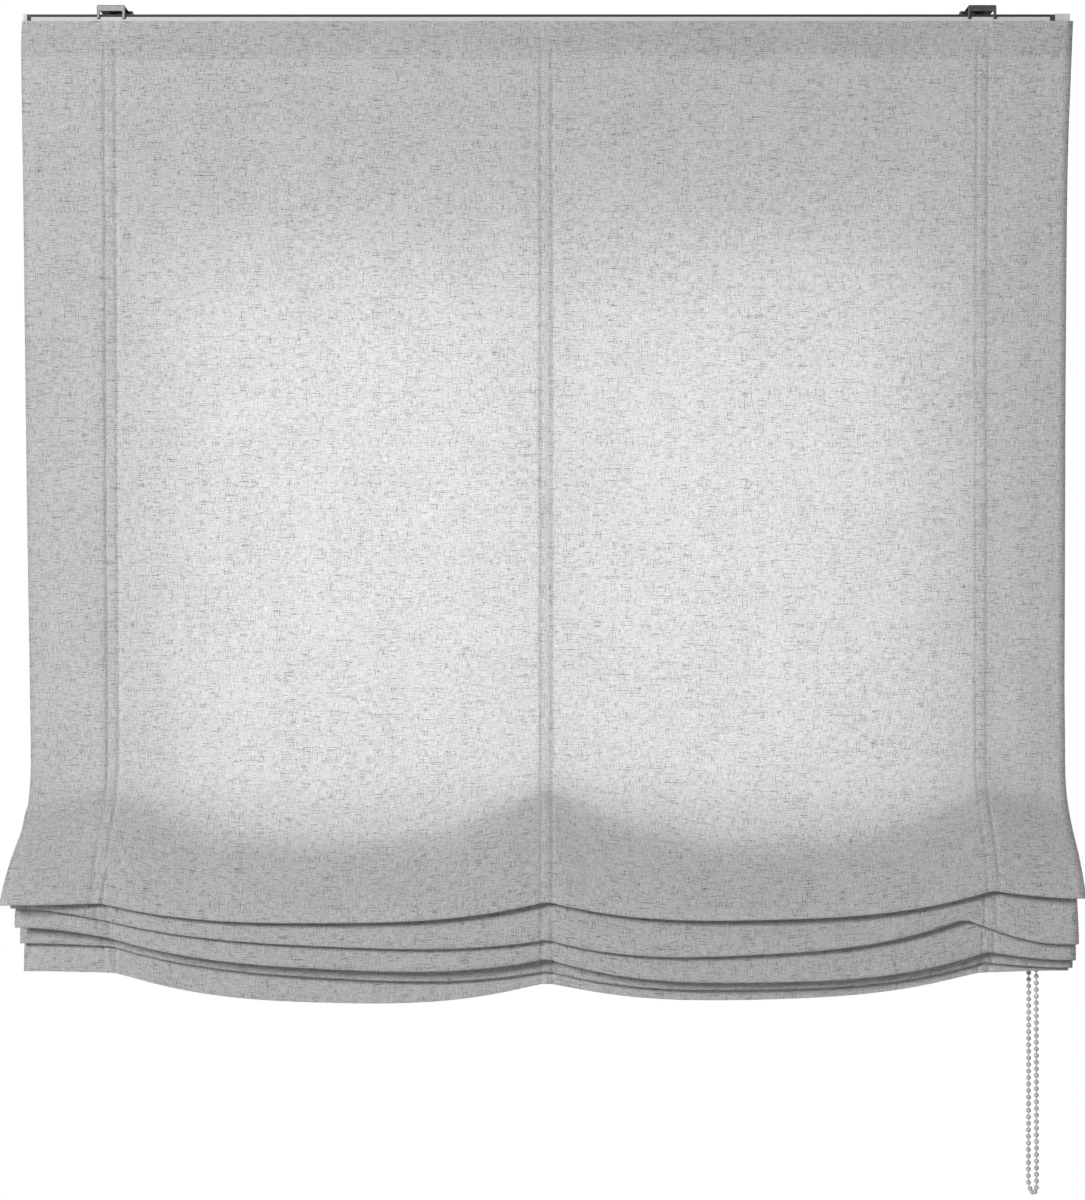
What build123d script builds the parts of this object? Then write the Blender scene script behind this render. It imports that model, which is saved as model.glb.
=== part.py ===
from build123d import *

import math
import os

os.makedirs("parts", exist_ok=True)

# Roman blind with a chain drive, partly raised. Millimetres.
# Frame: origin at the middle of the ceiling plane that the brackets are screwed to,
# +X along the headrail to the chain side, -Y to the room, +Z up.

# ---------------------------------------------------------------- driving sizes

# Cloth
blind_width = 950.0
fabric_t = 1.0
fabric_top = -14.7
hem_drop = -880.0
hem_height = 28.0
tape_width = 14.0
tape_t = 0.4
tape_x = 395.0
tape_inset = 2.0
tape_hem_gap = 1.0

# Folds: each leaf leaves the ring column, goes over a shoulder and hangs to its tip
ring_levels = (-700.0, -713.0, -727.0, -741.0, -753.0)
shoulder_reach = (20.0, 15.5, 11.5, 8.0)
rejoin_reach = (17.5, 13.5, 9.5, 5.5)
fold_tips = ((-66.0, -808.0), (-54.0, -832.0), (-42.0, -848.0), (-31.0, -860.0))
tip_widths = (8.0, 7.0, 6.0, 5.0)
leaf_gap = 4.5
leaf_fall = 0.64
panel_bend_r = 6.0
shoulder_bend_r = 9.0
crest_bend_r = 1.6
bend_share = 0.8
tip_share = 0.42

# Rings sewn on the tapes
ring_r = 6.0
ring_wire_r = 1.0
ring_tilt = 35.0
ring_pitch = 240.0
ring_rise = 3.0
flat_rings = 2

# Headrail
headrail_width = 947.0
rail_wall = 1.4
rail_lip = 3.6
mount_gap = 8.0
rail_room = 0.8
insert_fit = 0.2
hook_height = 18.0
hook_inset = 1.0
hook_t = 1.2
loop_t = 1.0

# Bracket and its release lever
bracket_x = 394.0
bracket_width = 25.5
plate_t = 1.5
lip_height = 5.5
prong_height = 12.0
prong_width = 2.5
prong_fit = 0.2
plate_edge_r = 1.2
screw_spacing = 18.0
screw_r = 2.25
screw_sink_r = 3.2
lever_t = 1.2
lever_gap = 0.4
lever_disc_r = 5.5
lever_hub_r = 4.0
lever_arm_width = 6.0
lever_overhang = 4.5
lever_tip_clear = 0.5
cam_long_r = 12.0
cam_short_r = 4.8
cam_t = 1.2
cam_clear = 0.3
rivet_r = 2.0
rivet_head_r = 3.2
rivet_head_t = 0.6
rivet_foot_r = 3.5
rivet_foot_t = 0.8
rivet_gap = 0.3
running_fit = 0.05
seat_fit = 0.02

# Bead chain and drive
bead_d = 4.5
bead_pitch = 6.0
sprocket_beads = 10
chain_core_d = 1.2
chain_inset = 12.4
chain_room = 0.4
pocket_clear = 0.2
slot_clear = 0.3
rib_drop = 0.35
sprocket_cheek = 2.0
sprocket_rim = 1.85
housing_wall = 1.2
housing_inner_t = 8.0
housing_side_clear = 0.5
drive_flange_t = 4.8
cover_width = 13.3
cover_wall = 1.6
cover_proud = 0.5
cover_edge_share = 0.6
peg_r = 1.5
peg_fit = 0.02
peg_length = 3.0
peg_relief = 0.3
peg_inset = 3.0
peg_height = 8.0
peg_boss_r = 2.4
hub_r = 4.0
hub_inset = 1.0
spring_wire = 0.8
spring_offset = 0.6
spring_pitch = 0.85
spring_turns = 4
core_r = 7.0
core_flange_r = 10.0
core_flange_t = 4.7
dog_size = 1.8
dog_length = 1.4
dog_fit = 0.1
dog_offset = 0.2
cut_past = 1.0

# Shaft and its left bearing
shaft_size = 5.0
shaft_play = 0.2
socket_clear = 0.1
socket_floor = 2.0
end_play = 0.3
idler_r = 6.0
idler_flange_r = 9.0
idler_flange_t = 2.0
idler_plug_depth = 14.0
idler_inset = 2.0
idler_play = 0.5
left_flange_t = 3.7
end_cap_t = 3.4

# Cord drums
lift_cord_d = 1.2
drum_r = 8.4
drum_length = 34.0
drum_lip = 0.2
drum_clear = 0.19
drum_flange_t = 1.5
journal_r = 4.6
journal_length = 4.0
wound_length = 19.0
wound_inset = 0.1
cord_gap = 0.1
cradle_floor = 2.0
cradle_wall = 2.5
cradle_top = 8.0
spout_r = 2.8
spout_bore_r = 1.6
spout_drop = 1.5
spout_fit = 0.2
stop_r = 4.0
stop_edge_r = 1.8
stop_gap = 0.5
stop_length = 12.0
connector_r = 3.4
connector_clear = 0.15
connector_length = 12.0
connector_z = -300.0
loop_bend_share = 0.45
over_bend_share = 0.48

# ---------------------------------------------------------------- places that follow from them

pitch_r = bead_pitch * sprocket_beads / (2 * math.pi)
chain_reach = pitch_r + bead_d / 2
inner_half_y = chain_reach + chain_room + housing_wall + insert_fit
flange_r = drum_r + lift_cord_d + drum_lip
foot_depth = cam_clear + cam_t + rivet_gap + rivet_foot_t
inner_half_z = max(chain_reach + rail_room, flange_r + drum_clear + max(cradle_floor, foot_depth))
rail_half_y = inner_half_y + rail_wall
rail_half_z = inner_half_z + rail_wall
rail_top = -mount_gap
rail_bottom = rail_top - 2 * rail_half_z
axis_z = (rail_top + rail_bottom) / 2
rail_x0 = -headrail_width / 2 + end_cap_t + left_flange_t
rail_x1 = headrail_width / 2 - cover_width - drive_flange_t
slot_half_y = rail_half_y - rail_wall - rail_lip

chain_x = rail_x1 - chain_inset
groove_half = bead_d / 2 + rib_drop
sprocket_half = groove_half + sprocket_cheek
sprocket_r = pitch_r + sprocket_rim
cavity_half_x = sprocket_half + housing_side_clear
cavity_half_y = inner_half_y - insert_fit - housing_wall

cord_wrap_r = drum_r + lift_cord_d / 2
cord_y = -cord_wrap_r - cord_gap
cord_places = {"left": -tape_x, "centre": 0.0, "right": tape_x}

hook_y = -rail_half_y
loop_y = hook_y - hook_t
cloth_y = loop_y - loop_t


def axis_plane(x):
    """Plane square to the shaft at x, with its own x to the wall and its z along +X."""
    return Plane(origin=(x, 0, axis_z), x_dir=(0, 1, 0), z_dir=(1, 0, 0))


# ---------------------------------------------------------------- headrail

with BuildPart() as headrail:
    with BuildSketch(Plane.YZ.offset(rail_x0)):
        with Locations((0, axis_z)):
            Rectangle(2 * rail_half_y, 2 * rail_half_z)
            Rectangle(2 * inner_half_y, 2 * inner_half_z, mode=Mode.SUBTRACT)
        with Locations((0, rail_top)):
            Rectangle(2 * slot_half_y, 4 * rail_wall, mode=Mode.SUBTRACT)
    extrude(amount=rail_x1 - rail_x0)
    with BuildSketch(Plane.XY.offset(rail_bottom - rail_wall)):
        with Locations(*[(x, cord_y) for x in cord_places.values()]):
            Circle(spout_r + spout_fit)
        with Locations((chain_x, 0)):
            Rectangle(2 * cavity_half_x, 2 * cavity_half_y)
    extrude(amount=3 * rail_wall, mode=Mode.SUBTRACT)
headrail.part.label = "headrail"
export_step(headrail.part, "parts/headrail.step")

hook_centre_z = fabric_top - hook_inset - hook_height / 2
with BuildPart() as hook_tape:
    with BuildSketch(Plane.XZ.offset(-hook_y)):
        with Locations(((rail_x0 + rail_x1) / 2, hook_centre_z)):
            Rectangle(rail_x1 - rail_x0, hook_height)
    extrude(amount=hook_t)
hook_tape.part.label = "hook_tape"
export_step(hook_tape.part, "parts/hook_tape.step")

with BuildPart() as loop_tape:
    with BuildSketch(Plane.XZ.offset(-loop_y)):
        with Locations(((rail_x0 + rail_x1) / 2, hook_centre_z)):
            Rectangle(rail_x1 - rail_x0, hook_height)
    extrude(amount=loop_t)
loop_tape.part.label = "loop_tape"
export_step(loop_tape.part, "parts/loop_tape.step")

# ---------------------------------------------------------------- cloth, tapes and rings


def cloth_route(top):
    """Corners and bend radii of the cloth's wall side, from the rail down to the hem."""
    corners = [(cloth_y, top), (cloth_y, ring_levels[0])]
    radii = [panel_bend_r]
    for fold, (tip_y, tip_z) in enumerate(fold_tips):
        reach = shoulder_reach[fold]
        back_reach = rejoin_reach[fold]
        next_level = ring_levels[fold + 1] + leaf_gap
        half_tip = tip_widths[fold] / 2
        corners.append((cloth_y - reach, ring_levels[fold] - reach * leaf_fall))
        corners.append((tip_y - half_tip, tip_z))
        corners.append((tip_y + half_tip, tip_z))
        corners.append((cloth_y - back_reach, next_level - back_reach * leaf_fall))
        corners.append((cloth_y, next_level))
        bend = min(shoulder_bend_r, bend_share * reach)
        tip_r = tip_share * tip_widths[fold]
        back_bend = min(shoulder_bend_r, bend_share * back_reach)
        radii += [bend, tip_r, tip_r, back_bend, crest_bend_r]
        if fold < len(fold_tips) - 1:
            corners.append((cloth_y, ring_levels[fold + 1]))
            radii.append(crest_bend_r)
    corners.append((cloth_y, hem_drop))
    return corners, radii


def beside(corners, radii, shift):
    """The same route moved sideways by shift, to the room where it is positive, with its bends to match."""
    normals = []
    for (y0, z0), (y1, z1) in zip(corners, corners[1:]):
        run = math.hypot(y1 - y0, z1 - z0)
        normals.append(((z1 - z0) / run, (y0 - y1) / run))
    moved = [(corners[0][0] + shift * normals[0][0], corners[0][1] + shift * normals[0][1])]
    bends = []
    for (y, z), radius, (ay, az), (by, bz) in zip(corners[1:], radii, normals, normals[1:]):
        share = shift / (1 + ay * by + az * bz)
        moved.append((y + share * (ay + by), z + share * (az + bz)))
        turn = ay * bz - az * by
        bends.append(radius + shift if turn > 0 else radius - shift)
    last_y, last_z = corners[-1]
    moved.append((last_y + shift * normals[-1][0], last_z + shift * normals[-1][1]))
    return moved, bends


def layer(corners, radii, shift):
    """Closed outline of a layer as thick as the shift, on one side of the route."""
    near = FilletPolyline(*corners, radius=radii)
    moved, bends = beside(corners, radii, shift)
    far = FilletPolyline(*moved, radius=bends)
    Line(near @ 0, far @ 0)
    Line(near @ 1, far @ 1)
    return near.length


fabric_corners, fabric_radii = cloth_route(fabric_top)
with BuildPart() as fabric:
    with BuildSketch(Plane.YZ.offset(-blind_width / 2)):
        with BuildLine():
            cloth_length = layer(fabric_corners, fabric_radii, fabric_t)
        make_face()
        with Locations((cloth_y, hem_drop)):
            Rectangle(fabric_t, hem_height, align=(Align.MIN, Align.MIN))
    extrude(amount=blind_width)
fabric.part.label = "fabric"
export_step(fabric.part, "parts/fabric.step")
print("cloth length", round(cloth_length, 1), "volume", round(fabric.part.volume))
print("sheet volume", round(cloth_length * fabric_t * blind_width))

tape_top = hook_centre_z - hook_height / 2 - tape_inset
tape_corners, tape_radii = cloth_route(tape_top)
tape_corners[-1] = (cloth_y, hem_drop + hem_height + tape_hem_gap)
ring_half_height = ring_r * math.sin(math.radians(ring_tilt))
ring_front = ring_r * math.cos(math.radians(ring_tilt)) + ring_wire_r
ring_y = cloth_y + tape_t + ring_front + seat_fit
seams = [ring_levels[0] + ring_rise + ring_pitch * n for n in range(flat_rings, -1, -1)]
seams += [level + leaf_gap / 2 for level in ring_levels[1:]]
for side, x in cord_places.items():
    with BuildPart() as tape:
        with BuildSketch(Plane.YZ.offset(x - tape_width / 2)):
            with BuildLine():
                layer(tape_corners, tape_radii, -tape_t)
            make_face()
        extrude(amount=tape_width)
    tape.part.label = f"tape_{side}"
    export_step(tape.part, f"parts/tape_{side}.step")

    with BuildPart() as rings:
        for seam in seams:
            with Locations(Location((x, ring_y, seam + ring_half_height), (ring_tilt, 0, 0))):
                Torus(ring_r, ring_wire_r)
    rings.part.label = f"rings_{side}"
    export_step(rings.part, f"parts/rings_{side}.step")

# ---------------------------------------------------------------- drums, cords and cradles

lowest_seam = seams[-1] + ring_half_height
cord_end = lowest_seam - ring_half_height - ring_wire_r - stop_gap - stop_length
for side, x in cord_places.items():
    barrel_x0 = x + wound_length + lift_cord_d / 2 - drum_length
    barrel_x1 = barrel_x0 + drum_length
    body_x0 = barrel_x0 - drum_flange_t
    body_x1 = barrel_x1 + drum_flange_t
    cradle_x0 = body_x0 - journal_length
    cradle_x1 = body_x1 + journal_length

    with BuildPart(axis_plane(cradle_x0)) as cord_drum:
        Cylinder(journal_r, cradle_x1 - cradle_x0, align=(Align.CENTER, Align.CENTER, Align.MIN))
        with BuildSketch(axis_plane(body_x0)):
            Circle(flange_r)
        extrude(amount=drum_flange_t)
        with BuildSketch(axis_plane(barrel_x0)):
            Circle(drum_r)
        extrude(amount=drum_length)
        with BuildSketch(axis_plane(barrel_x1)):
            Circle(flange_r)
        extrude(amount=drum_flange_t)
        with BuildSketch(axis_plane(cradle_x0)):
            Rectangle(shaft_size + 2 * socket_clear, shaft_size + 2 * socket_clear)
        extrude(amount=cradle_x1 - cradle_x0, mode=Mode.SUBTRACT)
    cord_drum.part.label = f"cord_drum_{side}"
    export_step(cord_drum.part, f"parts/cord_drum_{side}.step")

    with BuildPart() as cord_winding:
        with BuildSketch(axis_plane(barrel_x1 - wound_length + wound_inset)):
            Circle(drum_r + lift_cord_d)
            Circle(drum_r + seat_fit, mode=Mode.SUBTRACT)
        extrude(amount=wound_length - 2 * wound_inset)
    cord_winding.part.label = f"cord_winding_{side}"
    export_step(cord_winding.part, f"parts/cord_winding_{side}.step")

    cradle_half_y = inner_half_y - insert_fit
    cradle_floor_z = rail_bottom + rail_wall
    wall_height = axis_z + cradle_top - cradle_floor_z
    with BuildPart() as cradle:
        with BuildSketch(Plane.XY.offset(cradle_floor_z)):
            with Locations(((cradle_x0 + cradle_x1) / 2, 0)):
                Rectangle(cradle_x1 - cradle_x0, 2 * cradle_half_y)
        extrude(amount=cradle_floor)
        for wall_x in (cradle_x0, cradle_x1 - cradle_wall):
            with BuildSketch(Plane.YZ.offset(wall_x)):
                with Locations((0, cradle_floor_z)):
                    Rectangle(2 * cradle_half_y, wall_height, align=(Align.CENTER, Align.MIN))
                with Locations((0, axis_z)):
                    Circle(journal_r + running_fit, mode=Mode.SUBTRACT)
                    Rectangle(
                        2 * (journal_r + running_fit),
                        cradle_top,
                        align=(Align.CENTER, Align.MIN),
                        mode=Mode.SUBTRACT,
                    )
            extrude(amount=cradle_wall)
        with BuildSketch(Plane.XY.offset(rail_bottom - spout_drop)):
            with Locations((x, cord_y)):
                Circle(spout_r)
        extrude(amount=spout_drop + rail_wall + cradle_floor)
        with BuildSketch(Plane.XY.offset(rail_bottom - spout_drop)):
            with Locations((x, cord_y)):
                Circle(spout_bore_r)
        extrude(amount=spout_drop + rail_wall + cradle_floor, mode=Mode.SUBTRACT)
    cradle.part.label = f"cradle_{side}"
    export_step(cradle.part, f"parts/cradle_{side}.step")

    with BuildPart() as lift_cord:
        with BuildSketch(Plane.XY.offset(cord_end)):
            with Locations((x, cord_y)):
                Circle(lift_cord_d / 2)
        extrude(amount=axis_z - cord_end)
    lift_cord.part.label = f"lift_cord_{side}"
    export_step(lift_cord.part, f"parts/lift_cord_{side}.step")

    with BuildPart() as cord_stop:
        with Locations((x, cord_y, cord_end)):
            Cylinder(stop_r, stop_length, align=(Align.CENTER, Align.CENTER, Align.MIN))
        fillet(cord_stop.edges().filter_by(GeomType.CIRCLE), stop_edge_r)
        with Locations((x, cord_y, cord_end)):
            Cylinder(
                lift_cord_d / 2 + running_fit,
                stop_length,
                align=(Align.CENTER, Align.CENTER, Align.MIN),
                mode=Mode.SUBTRACT,
            )
    cord_stop.part.label = f"cord_stop_{side}"
    export_step(cord_stop.part, f"parts/cord_stop_{side}.step")

# ---------------------------------------------------------------- drive at the chain end

housing_half_y = inner_half_y - insert_fit
housing_half_z = inner_half_z - insert_fit
inner_x0 = chain_x - cavity_half_x - housing_inner_t
hub_x0 = chain_x - sprocket_half + hub_inset
hub_x1 = rail_x1 + drive_flange_t - hub_inset
peg_y = housing_half_y - peg_inset
peg_places = ((-peg_y, peg_height), (peg_y, -peg_height))

with BuildPart() as drive_housing:
    with BuildSketch(axis_plane(inner_x0)):
        Rectangle(2 * housing_half_y, 2 * housing_half_z)
    extrude(amount=rail_x1 - inner_x0)
    with BuildSketch(axis_plane(rail_x1)):
        Rectangle(2 * rail_half_y, 2 * rail_half_z)
    extrude(amount=drive_flange_t)
    with BuildSketch(axis_plane(chain_x - cavity_half_x)):
        Rectangle(2 * cavity_half_y, 4 * rail_half_z)
    extrude(amount=2 * cavity_half_x, mode=Mode.SUBTRACT)
    with BuildSketch(axis_plane(inner_x0)):
        Circle(core_r + running_fit)
    extrude(amount=housing_inner_t, mode=Mode.SUBTRACT)
    with BuildSketch(axis_plane(chain_x + cavity_half_x)):
        Circle(hub_r + seat_fit)
    extrude(amount=hub_x1 - chain_x - cavity_half_x, mode=Mode.SUBTRACT)
    with BuildSketch(axis_plane(rail_x1 + drive_flange_t - peg_length - peg_relief)):
        with Locations(*peg_places):
            Circle(peg_r + peg_fit)
    extrude(amount=peg_length + peg_relief, mode=Mode.SUBTRACT)
drive_housing.part.label = "drive_housing"
export_step(drive_housing.part, "parts/drive_housing.step")

with BuildPart() as drive_hub:
    with BuildSketch(axis_plane(hub_x0)):
        Circle(hub_r)
    extrude(amount=hub_x1 - hub_x0)
drive_hub.part.label = "drive_hub"
export_step(drive_hub.part, "parts/drive_hub.step")

cover_x0 = rail_x1 + drive_flange_t
cover_half_y = rail_half_y + cover_proud
cover_half_z = rail_half_z + cover_proud
cover_edge_r = cover_edge_share * cover_wall
with BuildPart() as drive_cover:
    with BuildSketch(axis_plane(cover_x0)):
        Rectangle(2 * cover_half_y, 2 * cover_half_z)
    extrude(amount=cover_width)
    fillet(drive_cover.faces().sort_by(Axis.X)[-1].edges(), cover_edge_r)
    with BuildSketch(axis_plane(cover_x0)):
        Rectangle(2 * (cover_half_y - cover_wall), 2 * (cover_half_z - cover_wall))
    extrude(amount=cover_width - cover_wall, mode=Mode.SUBTRACT)
    with BuildSketch(axis_plane(cover_x0)):
        with Locations(*peg_places):
            Circle(peg_boss_r)
    extrude(amount=cover_width - cover_wall)
    with BuildSketch(axis_plane(cover_x0 - peg_length)):
        with Locations(*peg_places):
            Circle(peg_r)
    extrude(amount=peg_length)
drive_cover.part.label = "drive_cover"
export_step(drive_cover.part, "parts/drive_cover.step")

spring_x0 = chain_x + spring_offset
spring_r = hub_r + running_fit + spring_wire / 2
spring_bore_r = spring_r + spring_wire / 2 + slot_clear
with BuildPart() as wrap_spring:
    with BuildLine():
        coil = Helix(
            pitch=spring_pitch,
            height=spring_pitch * spring_turns,
            radius=spring_r,
            center=(spring_x0 + spring_wire / 2 + running_fit, 0, axis_z),
            direction=(1, 0, 0),
        )
    with BuildSketch(Plane(origin=coil @ 0, z_dir=coil % 0)):
        Circle(spring_wire / 2)
    sweep(path=coil, is_frenet=True)
wrap_spring.part.label = "wrap_spring"
export_step(wrap_spring.part, "parts/wrap_spring.step")

dog_r = (core_r + hub_r) / 2 + dog_offset
with BuildPart(axis_plane(chain_x)) as sprocket:
    Cylinder(sprocket_r, 2 * sprocket_half)
    with BuildSketch(axis_plane(chain_x - groove_half)):
        Circle(sprocket_r + cut_past)
        Circle(pitch_r - rib_drop, mode=Mode.SUBTRACT)
    extrude(amount=2 * groove_half, mode=Mode.SUBTRACT)
    with PolarLocations(pitch_r, sprocket_beads):
        Sphere(bead_d / 2 + pocket_clear, mode=Mode.SUBTRACT)
    slot_half = chain_core_d / 2 + slot_clear
    with BuildSketch(axis_plane(chain_x - slot_half)):
        Circle(sprocket_r + cut_past)
        Circle(pitch_r - slot_half - running_fit, mode=Mode.SUBTRACT)
    extrude(amount=2 * slot_half, mode=Mode.SUBTRACT)
    with BuildSketch(axis_plane(chain_x - sprocket_half)):
        Circle(hub_r + running_fit)
    extrude(amount=2 * sprocket_half, mode=Mode.SUBTRACT)
    with BuildSketch(axis_plane(spring_x0)):
        Circle(spring_bore_r)
    extrude(amount=sprocket_half, mode=Mode.SUBTRACT)
    with BuildSketch(axis_plane(chain_x - sprocket_half)):
        with PolarLocations(dog_r, 2):
            Rectangle(dog_size + 2 * dog_fit, dog_size + 2 * dog_fit)
    extrude(amount=dog_length + dog_fit, mode=Mode.SUBTRACT)
sprocket.part.label = "sprocket"
export_step(sprocket.part, "parts/sprocket.step")

core_x0 = inner_x0 - end_play - core_flange_t
core_x1 = chain_x - sprocket_half - running_fit
socket_depth = core_x1 - core_x0 - socket_floor
with BuildPart() as drive_core:
    with BuildSketch(axis_plane(core_x0)):
        Circle(core_flange_r)
    extrude(amount=core_flange_t)
    with BuildSketch(axis_plane(core_x0)):
        Circle(core_r)
    extrude(amount=core_x1 - core_x0)
    with BuildSketch(axis_plane(core_x0)):
        Rectangle(shaft_size + 2 * socket_clear, shaft_size + 2 * socket_clear)
    extrude(amount=socket_depth, mode=Mode.SUBTRACT)
    with BuildSketch(axis_plane(core_x1)):
        with PolarLocations(dog_r, 2):
            Rectangle(dog_size, dog_size)
    extrude(amount=dog_length)
drive_core.part.label = "drive_core"
export_step(drive_core.part, "parts/drive_core.step")

# ---------------------------------------------------------------- shaft and left end

idler_x0 = rail_x0 + idler_inset
idler_x1 = rail_x0 + idler_plug_depth + end_play + idler_flange_t
shaft_x0 = idler_x0 + socket_floor
shaft_x1 = core_x0 + socket_depth - end_play
with BuildPart() as shaft:
    with BuildSketch(axis_plane(shaft_x0 + shaft_play)):
        Rectangle(shaft_size, shaft_size)
    extrude(amount=shaft_x1 - shaft_x0 - shaft_play)
shaft.part.label = "shaft"
export_step(shaft.part, "parts/shaft.step")

with BuildPart() as shaft_idler:
    with BuildSketch(axis_plane(idler_x0)):
        Circle(idler_r)
    extrude(amount=idler_x1 - idler_x0)
    with BuildSketch(axis_plane(idler_x1 - idler_flange_t)):
        Circle(idler_flange_r)
    extrude(amount=idler_flange_t)
    with BuildSketch(axis_plane(shaft_x0)):
        Rectangle(shaft_size + 2 * socket_clear, shaft_size + 2 * socket_clear)
    extrude(amount=idler_x1 - shaft_x0, mode=Mode.SUBTRACT)
shaft_idler.part.label = "shaft_idler"
export_step(shaft_idler.part, "parts/shaft_idler.step")

with BuildPart() as idler_plug:
    with BuildSketch(axis_plane(rail_x0 - left_flange_t)):
        Rectangle(2 * rail_half_y, 2 * rail_half_z)
    extrude(amount=left_flange_t)
    with BuildSketch(axis_plane(rail_x0)):
        Rectangle(2 * housing_half_y, 2 * housing_half_z)
    extrude(amount=idler_plug_depth)
    with BuildSketch(axis_plane(idler_x0 - idler_play)):
        Circle(idler_r + running_fit)
    extrude(amount=idler_plug_depth, mode=Mode.SUBTRACT)
    with BuildSketch(axis_plane(rail_x0 - left_flange_t)):
        with Locations(*peg_places):
            Circle(peg_r + peg_fit)
    extrude(amount=peg_length + peg_relief, mode=Mode.SUBTRACT)
idler_plug.part.label = "idler_plug"
export_step(idler_plug.part, "parts/idler_plug.step")

with BuildPart() as end_cap:
    with BuildSketch(axis_plane(-headrail_width / 2)):
        Rectangle(2 * cover_half_y, 2 * cover_half_z)
    extrude(amount=end_cap_t)
    fillet(end_cap.faces().sort_by(Axis.X)[0].edges(), cover_edge_r)
    with BuildSketch(axis_plane(rail_x0 - left_flange_t)):
        with Locations(*peg_places):
            Circle(peg_r)
    extrude(amount=peg_length)
end_cap.part.label = "end_cap"
export_step(end_cap.part, "parts/end_cap.step")

# ---------------------------------------------------------------- bead chain

# The hanging loop, from the front of the sprocket down, round its low end and up to the back.
loop_route = [
    (443.0, -9.55, -36.5),
    (444.65, -9.4, -1073.8),
    (443.0, 0.0, -1079.3),
    (441.35, 9.4, -1073.8),
    (443.0, 9.55, -36.5),
]
# Its run over the sprocket, from front to back.
over_route = [
    (443.0, -9.55, -36.5),
    (443.0, -9.55, -18.05),
    (443.0, -3.95, -12.45),
    (443.0, 3.95, -12.45),
    (443.0, 9.55, -18.05),
    (443.0, 9.55, -36.5),
]


def bend_radii(route, share):
    """One radius for each corner: the share of the shorter run, over the tangent of half the turn."""
    radii = []
    for before, here, after in zip(route, route[1:], route[2:]):
        first = Vector(*here) - Vector(*before)
        second = Vector(*after) - Vector(*here)
        turn = math.radians(first.get_angle(second))
        radii.append(share * min(first.length, second.length) / math.tan(turn / 2))
    return radii


loop_radii = bend_radii(loop_route, loop_bend_share)
over_radii = bend_radii(over_route, over_bend_share)
with BuildPart() as bead_chain:
    with BuildLine() as loop_line:
        FilletPolyline(*loop_route, radius=loop_radii)
    with BuildSketch(Plane(origin=loop_line.wire() @ 0, z_dir=loop_line.wire() % 0)):
        Circle(bead_d / 2)
    sweep(path=loop_line.wire())
    with BuildLine() as over_line:
        FilletPolyline(*over_route, radius=over_radii)
    with BuildSketch(Plane(origin=over_line.wire() @ 0, z_dir=over_line.wire() % 0)):
        Circle(chain_core_d / 2)
    sweep(path=over_line.wire())
bead_chain.part.label = "bead_chain"
export_step(bead_chain.part, "parts/bead_chain.step")
loop_length = loop_line.wire().length
over_length = over_line.wire().length
tube_volume = math.pi * (bead_d / 2) ** 2 * loop_length
core_volume = math.pi * (chain_core_d / 2) ** 2 * over_length
print("loop radii", [round(r, 1) for r in loop_radii])
print("over radii", [round(r, 1) for r in over_radii])
print("chain length", round(loop_length + over_length, 1))
print("chain volume", round(bead_chain.part.volume), "of", round(tube_volume + core_volume))

lean = (loop_route[-2][0] - loop_route[-1][0]) / (loop_route[-2][2] - loop_route[-1][2])
connector_x = loop_route[-1][0] + lean * (connector_z - loop_route[-1][2])
with BuildPart() as chain_connector:
    with Locations((connector_x, loop_route[-1][1], connector_z)):
        Cylinder(connector_r, connector_length)
        Cylinder(bead_d / 2 + connector_clear, connector_length, mode=Mode.SUBTRACT)
chain_connector.part.label = "chain_connector"
export_step(chain_connector.part, "parts/chain_connector.step")

# ---------------------------------------------------------------- brackets, levers and rivets

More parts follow.
